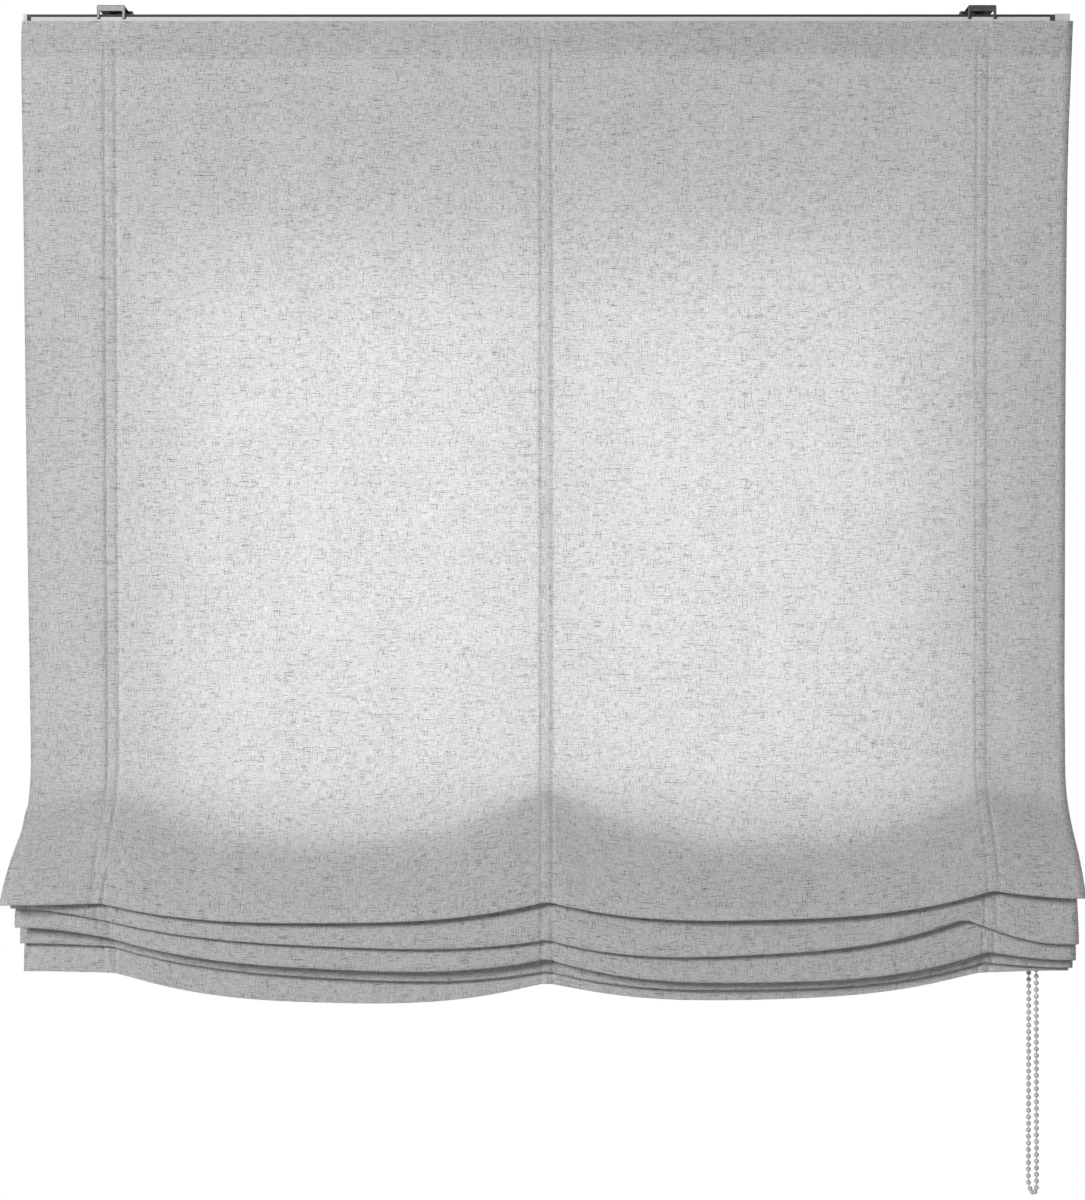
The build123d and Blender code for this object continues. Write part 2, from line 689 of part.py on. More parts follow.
front_y = rail_half_y + prong_fit
plate_rear_y = rail_half_y
cam_z = rail_top - rail_wall - cam_clear
lever_top = -plate_t - lever_gap
lever_bottom = lever_top - lever_t
tip_bottom = rail_top + lever_tip_clear
arm_length = bracket_width / 2 + lever_overhang
foot_z = cam_z - cam_t - rivet_gap
for side, x, inward in (("left", -bracket_x, 1), ("right", bracket_x, -1)):
    with BuildPart() as bracket:
        with BuildSketch(Plane.XY.offset(-plate_t)):
            with Locations((x, (plate_rear_y - front_y - plate_t) / 2)):
                Rectangle(bracket_width, plate_rear_y + front_y + plate_t)
        extrude(amount=plate_t)
        with BuildSketch(Plane.XZ.offset(front_y)):
            with Locations((x, 0)):
                Rectangle(bracket_width, prong_height, align=(Align.CENTER, Align.MAX))
            with Locations((x, -lip_height)):
                Rectangle(
                    bracket_width - 2 * prong_width,
                    prong_height,
                    align=(Align.CENTER, Align.MAX),
                    mode=Mode.SUBTRACT,
                )
        extrude(amount=plate_t)
        side_edges = bracket.edges().filter_by(Axis.Y).group_by(Axis.Z)[-1]
        fillet(side_edges, plate_edge_r)
        with Locations(*[(x, y, -plate_t) for y in (-screw_spacing / 2, screw_spacing / 2)]):
            Cylinder(screw_r, 4 * plate_t, mode=Mode.SUBTRACT)
            Cone(
                screw_sink_r,
                screw_r,
                screw_sink_r - screw_r,
                align=(Align.CENTER, Align.CENTER, Align.MIN),
                mode=Mode.SUBTRACT,
            )
        with Locations((x, 0, 0)):
            Cylinder(rivet_r + seat_fit, 4 * plate_t, mode=Mode.SUBTRACT)
            Cylinder(
                rivet_head_r + running_fit,
                rivet_head_t,
                align=(Align.CENTER, Align.CENTER, Align.MAX),
                mode=Mode.SUBTRACT,
            )
    bracket.part.label = f"bracket_{side}"
    export_step(bracket.part, f"parts/bracket_{side}.step")

    with BuildPart() as lever:
        with BuildSketch(Plane.XY.offset(lever_bottom)):
            with Locations((x, 0)):
                Circle(lever_disc_r)
            with Locations((x + inward * arm_length / 2, 0)):
                Rectangle(arm_length, lever_arm_width)
        extrude(amount=lever_t)
        with BuildSketch(Plane.XY.offset(tip_bottom)):
            with Locations((x + inward * (arm_length - lever_t / 2), 0)):
                Rectangle(lever_t, lever_arm_width)
        extrude(amount=lever_bottom - tip_bottom)
        with BuildSketch(Plane.XY.offset(cam_z - cam_t)):
            with Locations((x, 0)):
                Circle(lever_hub_r)
        extrude(amount=lever_bottom - cam_z + cam_t)
        with BuildSketch(Plane.XY.offset(cam_z - cam_t)):
            with Locations((x, 0)):
                Ellipse(cam_short_r, cam_long_r)
        extrude(amount=cam_t)
        with Locations((x, 0, cam_z - cam_t)):
            Cylinder(
                rivet_r + running_fit,
                lever_top - cam_z + cam_t,
                align=(Align.CENTER, Align.CENTER, Align.MIN),
                mode=Mode.SUBTRACT,
            )
    lever.part.label = f"lever_{side}"
    export_step(lever.part, f"parts/lever_{side}.step")

    with BuildPart() as rivet:
        with BuildSketch(Plane.XY.offset(foot_z)):
            with Locations((x, 0)):
                Circle(rivet_r)
        extrude(amount=-foot_z)
        with BuildSketch(Plane.XY.offset(-rivet_head_t)):
            with Locations((x, 0)):
                Circle(rivet_head_r)
        extrude(amount=rivet_head_t)
        with BuildSketch(Plane.XY.offset(foot_z - rivet_foot_t)):
            with Locations((x, 0)):
                Circle(rivet_foot_r)
        extrude(amount=rivet_foot_t)
    rivet.part.label = f"rivet_{side}"
    export_step(rivet.part, f"parts/rivet_{side}.step")
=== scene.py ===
"""Finished looks of a roman blind: linen in soft folds, with its tapes, stitching, cords and bead chain.

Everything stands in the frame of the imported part: X along the headrail to the chain side, -Y to the room,
Z up, with the origin on the ceiling. The cloth's own sizes are kept in millimetres and scaled once, by MM.
"""

import logging
import math
from dataclasses import dataclass
from enum import Enum
from typing import Callable

import bmesh
import bpy
from mathutils import Matrix, Vector, noise


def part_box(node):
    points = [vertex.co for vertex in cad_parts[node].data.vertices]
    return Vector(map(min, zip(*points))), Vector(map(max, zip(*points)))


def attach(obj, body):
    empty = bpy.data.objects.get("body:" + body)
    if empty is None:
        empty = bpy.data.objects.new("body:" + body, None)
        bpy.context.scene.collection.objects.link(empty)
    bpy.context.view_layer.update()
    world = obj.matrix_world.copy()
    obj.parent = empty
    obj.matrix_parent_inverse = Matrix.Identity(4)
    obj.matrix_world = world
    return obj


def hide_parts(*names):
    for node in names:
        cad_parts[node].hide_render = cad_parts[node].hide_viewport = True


MM = 0.001
FLAT_MAP = "flat"
Across = Callable[[float], float]
Triple = tuple[float, float, float]
Socket = bpy.types.NodeSocket

log = logging.getLogger("roman_blind")
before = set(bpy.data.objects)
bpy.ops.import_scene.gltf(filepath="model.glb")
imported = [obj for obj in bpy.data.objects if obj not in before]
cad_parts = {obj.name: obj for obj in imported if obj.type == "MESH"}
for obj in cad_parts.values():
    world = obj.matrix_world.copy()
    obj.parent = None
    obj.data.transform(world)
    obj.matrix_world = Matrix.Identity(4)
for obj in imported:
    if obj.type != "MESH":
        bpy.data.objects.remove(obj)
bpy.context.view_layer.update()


# ---------------------------------------------------------------- finishes


class Source(Enum):
    """Where a pattern takes its place from."""

    OBJECT = "Object"
    FLAT = "UV"


class Recipe:
    """One node material, put together a step at a time around a Principled shader."""

    def __init__(self, name: str) -> None:
        """Starts an empty material.

        Args:
            name: the material's name.
        """
        self.material = bpy.data.materials.new(name)
        self.material.use_nodes = True
        self.tree = self.material.node_tree
        self.tree.nodes.clear()
        self.output = self.node("OutputMaterial")
        self.surface = self.node("BsdfPrincipled")
        self.join(self.surface.outputs["BSDF"], self.output.inputs["Surface"])

    def join(self, source: Socket, target: Socket) -> None:
        """Links one socket to another."""
        self.tree.links.new(source, target)

    def feed(self, node: bpy.types.Node, **inputs: Socket | float | Triple) -> None:
        """Joins sources to a node's sockets, and sets uniform numbers on them directly.

        Args:
            node: the node.
            inputs: socket names in lower case with underscores, and a source or a number for each.
        """
        for name, value in inputs.items():
            wanted = name.replace("_", " ")
            socket = next(s for s in node.inputs if s.name.lower() == wanted)
            if isinstance(value, Socket):
                self.join(value, socket)
            else:
                socket.default_value = value

    def node(self, kind: str, **inputs: Socket | float | Triple) -> bpy.types.Node:
        """Adds a node of a kind, with its inputs fed."""
        node = self.tree.nodes.new(f"ShaderNode{kind}")
        self.feed(node, **inputs)
        return node

    def settle(self, **inputs: Socket | float) -> None:
        """Feeds the shader itself."""
        self.feed(self.surface, **inputs)

    def place(self, scale: Triple, source: Source = Source.OBJECT, turn: float = 0.0) -> Socket:
        """Coordinates, scaled and turned about Z.

        Args:
            scale: repeats for each metre along each axis.
            source: object space in metres, or the piece's flat map in metres.
            turn: turn about Z in degrees.

        Returns:
            The mapped vector.
        """
        if source is Source.FLAT:
            start = self.node("UVMap")
            start.uv_map = FLAT_MAP
        else:
            start = self.node("TexCoord")
        vector, turned = start.outputs[source.value], (0, 0, math.radians(turn))
        return self.node("Mapping", vector=vector, scale=scale, rotation=turned).outputs["Vector"]

    def along(self, axis: str) -> Socket:
        """The place along one axis of object space, in metres."""
        return self.node("SeparateXYZ", vector=self.node("TexCoord").outputs["Object"]).outputs[axis]

    def noise(self, place: Socket, detail: float = 2.0, dimensions: str = "3D") -> Socket:
        """Soft random pattern.

        Args:
            place: the vector it reads.
            detail: finer layers added.
            dimensions: "2D" for flat maps.

        Returns:
            A value about 0.5.
        """
        node = self.node("TexNoise", vector=place, scale=1.0, detail=detail)
        node.noise_dimensions = dimensions
        return node.outputs["Fac"]

    def speckle(self, scale: Triple, detail: float = 2.0) -> Socket:
        """Soft random pattern in object space."""
        return self.noise(self.place(scale), detail)

    def flat_speckle(self, across: float, down: float, detail: float = 2.0) -> Socket:
        """Soft random pattern on the flat map, with its repeats for each metre across and down."""
        return self.noise(self.place((across, down, 1), Source.FLAT), detail, "2D")

    def waves(self, place: Socket, distortion: float = 0.0) -> Socket:
        """Even bands along the first axis of the place."""
        return self.node("TexWave", vector=place, scale=1.0, distortion=distortion).outputs["Fac"]

    def combine(self, operation: str, *values: Socket | float) -> Socket:
        """One arithmetic step.

        Args:
            operation: the Math node's operation.
            values: sockets or numbers, in the node's order.

        Returns:
            The result.
        """
        node = self.node("Math")
        node.operation = operation
        for value, target in zip(values, node.inputs):
            if isinstance(value, (int, float)):
                target.default_value = value
            else:
                self.join(value, target)
        return node.outputs["Value"]

    def blend(self, *parts: tuple[Socket, float]) -> Socket:
        """The sum of some patterns, each times its share.

        Args:
            parts: the patterns and their shares.

        Returns:
            The sum.
        """
        total, *others = [self.combine("MULTIPLY", pattern, share) for pattern, share in parts]
        for other in others:
            total = self.combine("ADD", total, other)
        return total

    def share(self, value: Socket, low: float, high: float) -> Socket:
        """Where a value stands between low and high, from 0 to 1."""
        return self.node("MapRange", value=value, from_min=low, from_max=high).outputs["Result"]

    def shades(self, value: Socket, stops: list[tuple[float, Triple]]) -> Socket:
        """A colour ramp.

        Args:
            value: the place on the ramp.
            stops: places and colours, in order.

        Returns:
            The colour.
        """
        node = self.node("ValToRGB", fac=value)
        ramp = node.color_ramp
        while len(ramp.elements) < len(stops):
            ramp.elements.new(0.5)
        for element, (place, colour) in zip(ramp.elements, stops):
            element.position = place
            element.color = (*colour, 1.0)
        return node.outputs["Color"]

    def colour(self, source: Socket) -> None:
        """Drives the base colour."""
        self.settle(base_color=source)

    def gloss(self, pattern: Socket, low: float, high: float) -> None:
        """Lets the roughness wander with a pattern between two values."""
        self.settle(roughness=self.combine("MULTIPLY_ADD", pattern, high - low, low))

    def relief(self, height: Socket, depth: float, strength: float = 1.0, rounding: float = 0.0) -> None:
        """Bump from a height, on edges that may be softened first.

        Args:
            height: the pattern.
            depth: how far it stands out, in metres.
            strength: its share.
            rounding: the radius of the softened edges, in metres.
        """
        node = self.node("Bump", height=height, distance=depth, strength=strength)
        if rounding:
            soft_edges = self.node("Bevel", radius=rounding)
            soft_edges.samples = 6
            self.feed(node, normal=soft_edges.outputs["Normal"])
        self.settle(normal=node.outputs["Normal"])

    def let_light_through(self, colour: Socket, amount: float) -> None:
        """Mixes a translucent shader in, for thin cloth whose two faces stand for one layer.

        Light is tinted as it enters a face from outside, and leaves through the other face whole.

        Args:
            colour: the light's tint.
            amount: the share that comes through.
        """
        inside = self.node("NewGeometry").outputs["Backfacing"]
        thin = self.node("BsdfTranslucent", color=self.combine("MAXIMUM", inside, colour))
        mixer = self.node("MixShader", fac=self.combine("MAXIMUM", inside, amount))
        self.join(self.surface.outputs["BSDF"], mixer.inputs[1])
        self.join(thin.outputs["BSDF"], mixer.inputs[2])
        self.join(mixer.outputs["Shader"], self.output.inputs["Surface"])


def even(value: float) -> Triple:
    """The same number three times, for a neutral colour or an equal scale."""
    return (value, value, value)


def shade(colour: Triple, by: float) -> Triple:
    """A colour made darker or paler."""
    return tuple(min(1.0, part * by) for part in colour)


@dataclass(frozen=True)
class Slub:
    """Thick threads that show as flecks: their repeats for each metre, and how dark they are.

    A fleck starts to show where the noise is low, and is full where it is high.
    """

    across: float
    down: float
    low: float
    high: float
    darkness: float


@dataclass(frozen=True)
class Linen:
    """Slubby plain-weave linen, thin enough to glow a little from behind."""

    name: str = "slub_linen"
    dark_thread: float = 0.07
    shaded: float = 0.31
    ground: float = 0.505
    pale_thread: float = 0.64
    tones: tuple[float, float, float, float] = (0.02, 0.32, 0.52, 0.80)
    thread_run: float = 140.0
    thread_count: float = 1500.0
    thread_share: float = 0.42
    grain: float = 1250.0
    grain_share: float = 0.7
    cloud: float = 16.0
    cloud_share: float = 0.07
    base_tone: float = -0.305
    slubs: tuple[Slub, ...] = (
        Slub(75, 1300, 0.68, 0.75, 0.24),
        Slub(1300, 85, 0.69, 0.76, 0.20),
        Slub(24, 1250, 0.67, 0.77, 0.18),
        Slub(1250, 28, 0.69, 0.79, 0.15),
        Slub(520, 520, 0.75, 0.80, 0.42),
    )
    depth: float = 0.0003
    through: float = 0.30

    def make(self) -> bpy.types.Material:
        """Builds the material on the cloth's flat map.

        Returns:
            The material.
        """
        recipe = Recipe(self.name)
        weft = recipe.flat_speckle(self.thread_run, self.thread_count)
        warp = recipe.flat_speckle(self.thread_count, self.thread_run)
        grain = recipe.flat_speckle(self.grain, self.grain)
        cloud = recipe.flat_speckle(self.cloud, self.cloud, 3.0)
        flecks = [
            recipe.share(recipe.flat_speckle(slub.across, slub.down, 1.0), slub.low, slub.high)
            for slub in self.slubs
        ]
        pattern = recipe.blend(
            (weft, self.thread_share),
            (warp, self.thread_share),
            (grain, self.grain_share),
            (cloud, self.cloud_share),
            *((fleck, -slub.darkness) for fleck, slub in zip(flecks, self.slubs)),
        )
        greys = (self.dark_thread, self.shaded, self.ground, self.pale_thread)
        stops = [(tone, even(grey)) for tone, grey in zip(self.tones, greys)]
        colour = recipe.shades(recipe.combine("ADD", pattern, self.base_tone), stops)
        recipe.colour(colour)
        thick = recipe.combine("MAXIMUM", *flecks[:2])
        height = recipe.combine("ADD", recipe.combine("ADD", weft, warp), thick)
        recipe.relief(height, self.depth, 0.55)
        recipe.settle(roughness=0.93, specular_ior_level=0.18, sheen_weight=0.12, sheen_roughness=0.5)
        recipe.let_light_through(colour, self.through)
        return recipe.material


@dataclass(frozen=True)
class Tape:
    """Narrow woven tape, with ribs across it."""

    name: str
    ground: float
    through: float
    ribs: float = 900.0
    rib_share: float = 0.35
    wobble: float = 0.6
    fuzz: tuple[float, float] = (700, 2400)

    def make(self) -> bpy.types.Material:
        """Builds the material on the tape's flat map.

        Returns:
            The material.
        """
        recipe = Recipe(self.name)
        ribs = recipe.waves(recipe.place((self.ribs, 0, 1), Source.FLAT, 90.0), self.wobble)
        tone = recipe.blend((ribs, self.rib_share), (recipe.flat_speckle(*self.fuzz), 1 - self.rib_share))
        colour = recipe.shades(tone, [(0.2, even(self.ground * 0.72)), (0.75, even(self.ground * 1.12))])
        recipe.colour(colour)
        recipe.relief(tone, 0.00025, 0.6)
        recipe.settle(roughness=0.88, specular_ior_level=0.2, sheen_weight=0.2)
        recipe.let_light_through(colour, self.through)
        return recipe.material


@dataclass(frozen=True)
class Thread:
    """Fine spun thread or braided cord, with strands that cross."""

    name: str
    colour: Triple
    strands: float = 1500.0
    depth: float = 0.0001
    lay: float = 35.0
    strand_share: float = 0.35
    fuzz: float = 2600.0

    def make(self) -> bpy.types.Material:
        """Builds the material in object space.

        Returns:
            The material.
        """
        recipe = Recipe(self.name)
        right_hand = recipe.waves(recipe.place(even(self.strands), turn=self.lay))
        left_hand = recipe.waves(recipe.place((-self.strands, self.strands, self.strands), turn=-self.lay))
        fuzz = recipe.speckle(even(self.fuzz))
        share = self.strand_share
        tone = recipe.blend((right_hand, share), (left_hand, share), (fuzz, 1 - 2 * share))
        recipe.colour(recipe.shades(tone, [(0.2, shade(self.colour, 0.7)), (0.8, shade(self.colour, 1.15))]))
        recipe.relief(tone, self.depth, 0.6)
        recipe.settle(roughness=0.75, specular_ior_level=0.3, sheen_weight=0.15)
        return recipe.material


@dataclass(frozen=True)
class Plastic:
    """Moulded plastic: a faint flow in its colour, fine texture, and worn gloss."""

    name: str
    colour: Triple
    roughness: float = 0.42
    grain: float = 1400.0
    grain_depth: float = 0.00003
    clear: float = 0.0
    coat: float = 0.0
    shine: float = 0.5
    flow: Triple = (60, 60, 24)

    def make(self) -> bpy.types.Material:
        """Builds the material in object space.

        Returns:
            The material.
        """
        recipe = Recipe(self.name)
        flow = recipe.speckle(self.flow, 3.0)
        recipe.colour(recipe.shades(flow, [(0.3, shade(self.colour, 0.9)), (0.7, shade(self.colour, 1.06))]))
        recipe.gloss(flow, self.roughness - 0.06, self.roughness + 0.08)
        recipe.relief(recipe.speckle(even(self.grain)), self.grain_depth, 0.5)
        recipe.settle(transmission_weight=self.clear, ior=1.49, specular_ior_level=self.shine)
        recipe.settle(coat_weight=self.coat, coat_roughness=0.12)
        return recipe.material


@dataclass(frozen=True)
class PowderCoat:
    """Baked powder paint on an aluminium extrusion, with its orange-peel surface and a painted shadow line
    along its upper front edge.
    """

    front: float
    name: str = "powder_coated_aluminium"
    colour: Triple = (0.46, 0.46, 0.46)
    # The near-black colour and the band of the painted shadow line: painted shade along the rail's upper
    # front edge.
    shadow_line_colour: Triple = (0.02, 0.02, 0.022)
    shadow_line_top: float = -0.008
    shadow_line_height: float = 0.0026
    shadow_line_depth: float = 0.0005
    shadow_line_blur: float = 0.0004
    peel: float = 650.0
    drawn: Triple = (3, 300, 300)

    def make(self) -> bpy.types.Material:
        """Builds the material in object space.

        Returns:
            The material.
        """
        recipe = Recipe(self.name)
        drawn = recipe.speckle(self.drawn, 3.0)
        # Painted shadow line: the front face above the foot is painted near-black, standing in for the shade
        # along the rail's upper edge.
        foot, back = self.shadow_line_top - self.shadow_line_height, self.front + self.shadow_line_depth
        upper = recipe.share(recipe.along("Z"), foot, foot + 0.2 * self.shadow_line_height)
        outer = recipe.share(recipe.along("Y"), back + self.shadow_line_blur, back)
        tone = recipe.blend((drawn, 1.0), (recipe.combine("MULTIPLY", upper, outer), -0.6))
        stops = [(0.2, self.shadow_line_colour), (0.3, shade(self.colour, 0.94)), (0.6, self.colour)]
        recipe.colour(recipe.shades(tone, stops))
        recipe.gloss(drawn, 0.55, 0.69)
        recipe.relief(recipe.speckle(even(self.peel), 1.0), 0.00006, 0.5)
        recipe.settle(specular_ior_level=0.3)
        return recipe.material


@dataclass(frozen=True)
class Steel:
    """Plated steel with a rolled grain and a broken sheen."""

    name: str
    colour: Triple
    roughness: float = 0.34
    grain: Triple = (60, 1800, 1800)
    spangle: float = 260.0
    rounding: float = 0.0003

    def make(self) -> bpy.types.Material:
        """Builds the material in object space.

        Returns:
            The material.
        """
        recipe = Recipe(self.name)
        grain = recipe.speckle(self.grain, 3.0)
        patches = recipe.speckle(even(self.spangle), 1.0)
        tone = recipe.blend((grain, 0.5), (patches, 0.5))
        recipe.colour(recipe.shades(tone, [(0.35, shade(self.colour, 0.72)), (0.62, self.colour)]))
        recipe.gloss(patches, self.roughness - 0.13, self.roughness + 0.13)
        recipe.relief(grain, 0.00003, 0.5, self.rounding)
        recipe.settle(metallic=1.0)
        return recipe.material


@dataclass(frozen=True)
class Pile:
    """Touch fastener: dense hooks or loops that break up the light."""

    name: str
    ground: float
    density: float

    def make(self) -> bpy.types.Material:
        """Builds the material in object space.

        Returns:
            The material.
        """
        recipe = Recipe(self.name)
        tufts = recipe.node("TexVoronoi", vector=recipe.place(even(self.density)), scale=1.0)
        fuzz = recipe.speckle(even(self.density * 3))
        tone = recipe.blend((tufts.outputs["Distance"], 0.5), (fuzz, 0.5))
        recipe.colour(recipe.shades(tone, [(0.2, even(self.ground * 0.55)), (0.7, even(self.ground))]))
        recipe.relief(tone, 0.0006, 0.8)
        recipe.settle(roughness=0.9, sheen_weight=0.3)
        return recipe.material


# ---------------------------------------------------------------- the cloth's surface


def smooth(value: float) -> float:
    """Eases from 0 to 1."""
    held = min(1.0, max(0.0, value))
    return held * held * (3 - 2 * held)


@dataclass(frozen=True)
class Line:
    """A line across the cloth, held at both edges and at the tapes, that sags in the two spans.

    Lengths are millimetres, and a sag is how far the middle of a span lies below its held ends.
    """

    held: tuple[float, float, float, float, float]
    sags: tuple[float, float] = (0.0, 0.0)
    fullness: float = 2.85
    rounding: float = 4.0
    places: tuple[float, float, float, float, float] = (-475.0, -395.0, 0.0, 395.0, 475.0)

    def __call__(self, x: float) -> float:
        """The line's value at x.

        Args:
            x: the place across the cloth.

        Returns:
            The value.
        """
        left, low, middle, high, right = self.places
        if x <= low:
            share = math.sin(min(1.0, (low - x) / (low - left)) * math.pi / 2)
            return self.held[1] + (self.held[0] - self.held[1]) * share
        if x >= high:
            share = math.sin(min(1.0, (x - high) / (right - high)) * math.pi / 2)
            return self.held[3] + (self.held[4] - self.held[3]) * share
        if x <= middle:
            start, end, first, second, sag = low, middle, self.held[1], self.held[2], self.sags[0]
        else:
            start, end, first, second, sag = middle, high, self.held[2], self.held[3], self.sags[1]
        span = end - start
        near = min(x - start, end - x)
        eased = math.hypot(near, self.rounding) - self.rounding
        drop = sag * (1 - abs(1 - 2 * eased / span) ** self.fullness)
        return first + (second - first) * (x - start) / span - drop


def level(value: float) -> Line:
    """A straight line across the cloth."""
    return Line((value,) * 5)


def shifted(line: Across, by: float) -> Across:
    """The same line, raised or moved by an amount."""
    return lambda x: line(x) + by


def added(first: Across, second: Across) -> Across:
    """The sum of two lines."""
    return lambda x: first(x) + second(x)


def blended(first: Across, second: Across, share: float, extra: float = 0.0) -> Across:
    """A line part of the way from one to another, moved by an extra amount."""
    return lambda x: first(x) * (1 - share) + second(x) * share + extra


@dataclass(frozen=True)
class Waves:
    """Soft random waves in the cloth, in millimetres: their length across and down, and their height."""

    across: float
    down: float
    size: float
    start: float

    def at(self, x: float, z: float) -> float:
        """Their height at one place."""
        return noise.noise(Vector((x / self.across, z / self.down, self.start))) * self.size


@dataclass(frozen=True)
class Row:
    """One control line of the cloth's surface, with its side edges and the steps that follow it."""

    height: Across
    depth: Across
    left: float
    right: float
    steps: int


@dataclass(frozen=True)
class Fold:
    """One soft fold: it leaves the tapes at its crest, comes forward and hangs to its tip."""

    crest: Line
    reach: float
    tip: Line
    forward: Line
    width: float
    rejoin: float
    left: float
    right: float
    belly: float
    tuck_in: float
    ease: Line = Line((0, 0, 0, 0, 0))


@dataclass
class ClothShape:
    """The surface that the linen, its tapes, hems and stitching all follow."""

    width: float = 950.0
    top: float = -14.7
    face: float = -18.1
    tape_x: float = 395.0
    tape_follow: float = 0.35
    fall: float = 1.15
    crest_gap: float = 4.5
    seam_offset: float = 5.0
    seam_width: float = 1.6
    seam_reach: float = 3.0
    seam_dent: float = 1.2
    seam_uneven: Waves = Waves(5, 9, 1.1, 3.1)
    rail_foot: float = -38.0
    rail_ease: float = 12.0
    top_dent: float = 0.3
    tuck_heights: tuple[float, float] = (-742.0, -812.0)
    tuck_places: tuple[float, float] = (-384.5, -395.5)
    tuck_rise: float = 1.6
    tuck_width: float = 1.4
    sway: Waves = Waves(95, 330, 1.7, 2.7)
    pleats: Waves = Waves(34, 190, 0.9, 8.1)
    puckers: Waves = Waves(60, 16, 0.7, 5.3)
    pucker_reach: float = 16.0
    held_top: float = 10.0
    hang_ease: float = 160.0
    folds_start: float = -690.0
    fold_sway: float = 0.35
    panel_steps: int = 8
    panel: tuple[Triple, ...] = (
        (-14.7, -474.0, 475.8),
        (-32.0, -475.0, 475.0),
        (-70.0, -474.6, 473.6),
        (-120.0, -473.8, 471.5),
        (-190.0, -472.8, 470.3),
        (-280.0, -471.8, 469.6),
        (-380.0, -470.6, 469.0),
        (-480.0, -469.4, 468.6),
        (-560.0, -468.0, 468.2),
        (-620.0, -467.0, 468.0),
        (-665.0, -466.2, 468.6),
    )
    folds: tuple[Fold, ...] = (
        Fold(
            crest=Line((-705, -700, -700, -700, -705), (6, 6), 2.2),
            reach=20.0,
            tip=Line((-806, -806, -805, -795, -801), (17, 19.5)),
            forward=Line((-78, -66, -66, -66, -70), (5, 5), 2.2),
            width=7.0, rejoin=17.5, left=-480.0, right=474.5, belly=3.0, tuck_in=3.0,
            ease=Line((-8, -4, -2, -4, -8), (20, 20), 2.2),
        ),
        Fold(
            crest=Line((-726, -713, -713, -713, -726), (42, 42), 2.4),
            reach=15.5,
            tip=Line(
                (-811, -822, -840, -821, -843), (13.5, 21.5), rounding=2.0,
                places=(-475.0, -395.0, 0.0, 372.0, 462.0),
            ),
            forward=Line((-60, -56, -56, -56, -58), (5, 5), 2.2),
            width=6.5, rejoin=13.5, left=-474.5, right=471.0, belly=6.0, tuck_in=3.0,
        ),
        Fold(
            crest=Line((-739, -727, -727, -727, -739), (38, 38), 2.4),
            reach=11.5,
            tip=Line((-829, -838, -858.5, -852, -859), (17.6, 22.8), rounding=3.0),
            forward=Line((-52, -49, -47, -46, -47), (5, 5), 2.2),
            width=5.5, rejoin=9.5, left=-472.5, right=471.0, belly=5.0, tuck_in=3.0,
        ),
        Fold(
            crest=Line((-752, -741, -741, -741, -752), (35, 35), 2.4),
            reach=8.0,
            tip=Line((-846, -849, -872, -863.5, -868), (16.5, 19.5), rounding=4.0),
            forward=Line((-33, -31, -31, -32, -33), (3, 3), 2.2),
            width=4.5, rejoin=5.5, left=-472.0, right=471.5, belly=2.0, tuck_in=1.0,
        ),
    )
    last_crest: Line = Line((-763, -753, -753, -753, -763), (32, 32), 2.4)
    hem: Line = Line((-872, -873.4, -883.7, -873.4, -871.4), (22, 19), rounding=10.0)
    hem_edges: tuple[float, float] = (-470.5, 469.5)
    hem_forward: float = 8.0
    hem_shares: Triple = (0.3, 0.7, 1.0)
    search: float = 0.02

    def __post_init__(self) -> None:
        """Lays the rows out once, and measures the length down a column between two tapes."""
        self.rows = self.lay_rows()
        self.columns: dict[float, list[Vector]] = {}
        self.lengths = self.measure(-0.5 * self.tape_x)

    def lay_rows(self) -> list[Row]:
        """Every control line from the top edge to the hem.

        Returns:
            The rows in order.
        """
        column = level(self.face)
        rows = [Row(level(z), column, left, right, self.panel_steps) for z, left, right in self.panel]
        edges = self.panel[-1][1:]
        crests = [fold.crest for fold in self.folds[1:]] + [self.last_crest]
        for fold, next_crest in zip(self.folds, crests):
            half = fold.width / 2
            high = shifted(next_crest, self.crest_gap)
            eased = shifted(added(fold.crest, fold.ease), -fold.reach * self.fall)
            shoulder = (eased, level(self.face - fold.reach))
            front = (fold.tip, shifted(fold.forward, -half))
            back = (fold.tip, shifted(fold.forward, half))
            rejoin = (shifted(high, -fold.rejoin * self.fall), level(self.face - fold.rejoin))
            belly = (blended(shoulder[0], fold.tip, 0.5), blended(shoulder[1], front[1], 0.5, -fold.belly))
            hollow = (blended(fold.tip, rejoin[0], 0.5), blended(back[1], rejoin[1], 0.5, -fold.tuck_in))
            tip_edges = (fold.left, fold.right)
            mid_edges = tuple((a + 2 * b) / 3 for a, b in zip(edges, tip_edges))
            leaf = (
                (fold.crest, column, edges, 4),
                (*shoulder, edges, 6),
                (*belly, mid_edges, 7),
                (*front, tip_edges, 5),
                (*back, tip_edges, 5),
                (*hollow, mid_edges, 6),
                (*rejoin, edges, 5),
                (high, column, edges, 3),
            )
            rows += [Row(height, depth, *sides, steps) for height, depth, sides, steps in leaf]
            edges = self.hem_edges
        rows.append(Row(self.last_crest, column, *edges, 4))
        for share in self.hem_shares:
            drop = blended(self.last_crest, self.hem, share)
            rows.append(Row(drop, shifted(column, -self.hem_forward * share), *self.hem_edges, 4))
        return rows

    def sideways(self, x: float, row: Row) -> float:
        """Where a point across the flat cloth lies, as the edges draw in or flare.

        Args:
            x: the place across the flat cloth.
            row: the control line.

        Returns:
            The place along X.
        """
        half = self.width / 2
        pull = row.left + half if x < 0 else row.right - half
        out = abs(x)
        if out <= self.tape_x:
            return x + pull * self.tape_follow * out / self.tape_x
        share = (out - self.tape_x) / (half - self.tape_x)
        return x + pull * (self.tape_follow + (1 - self.tape_follow) * share)

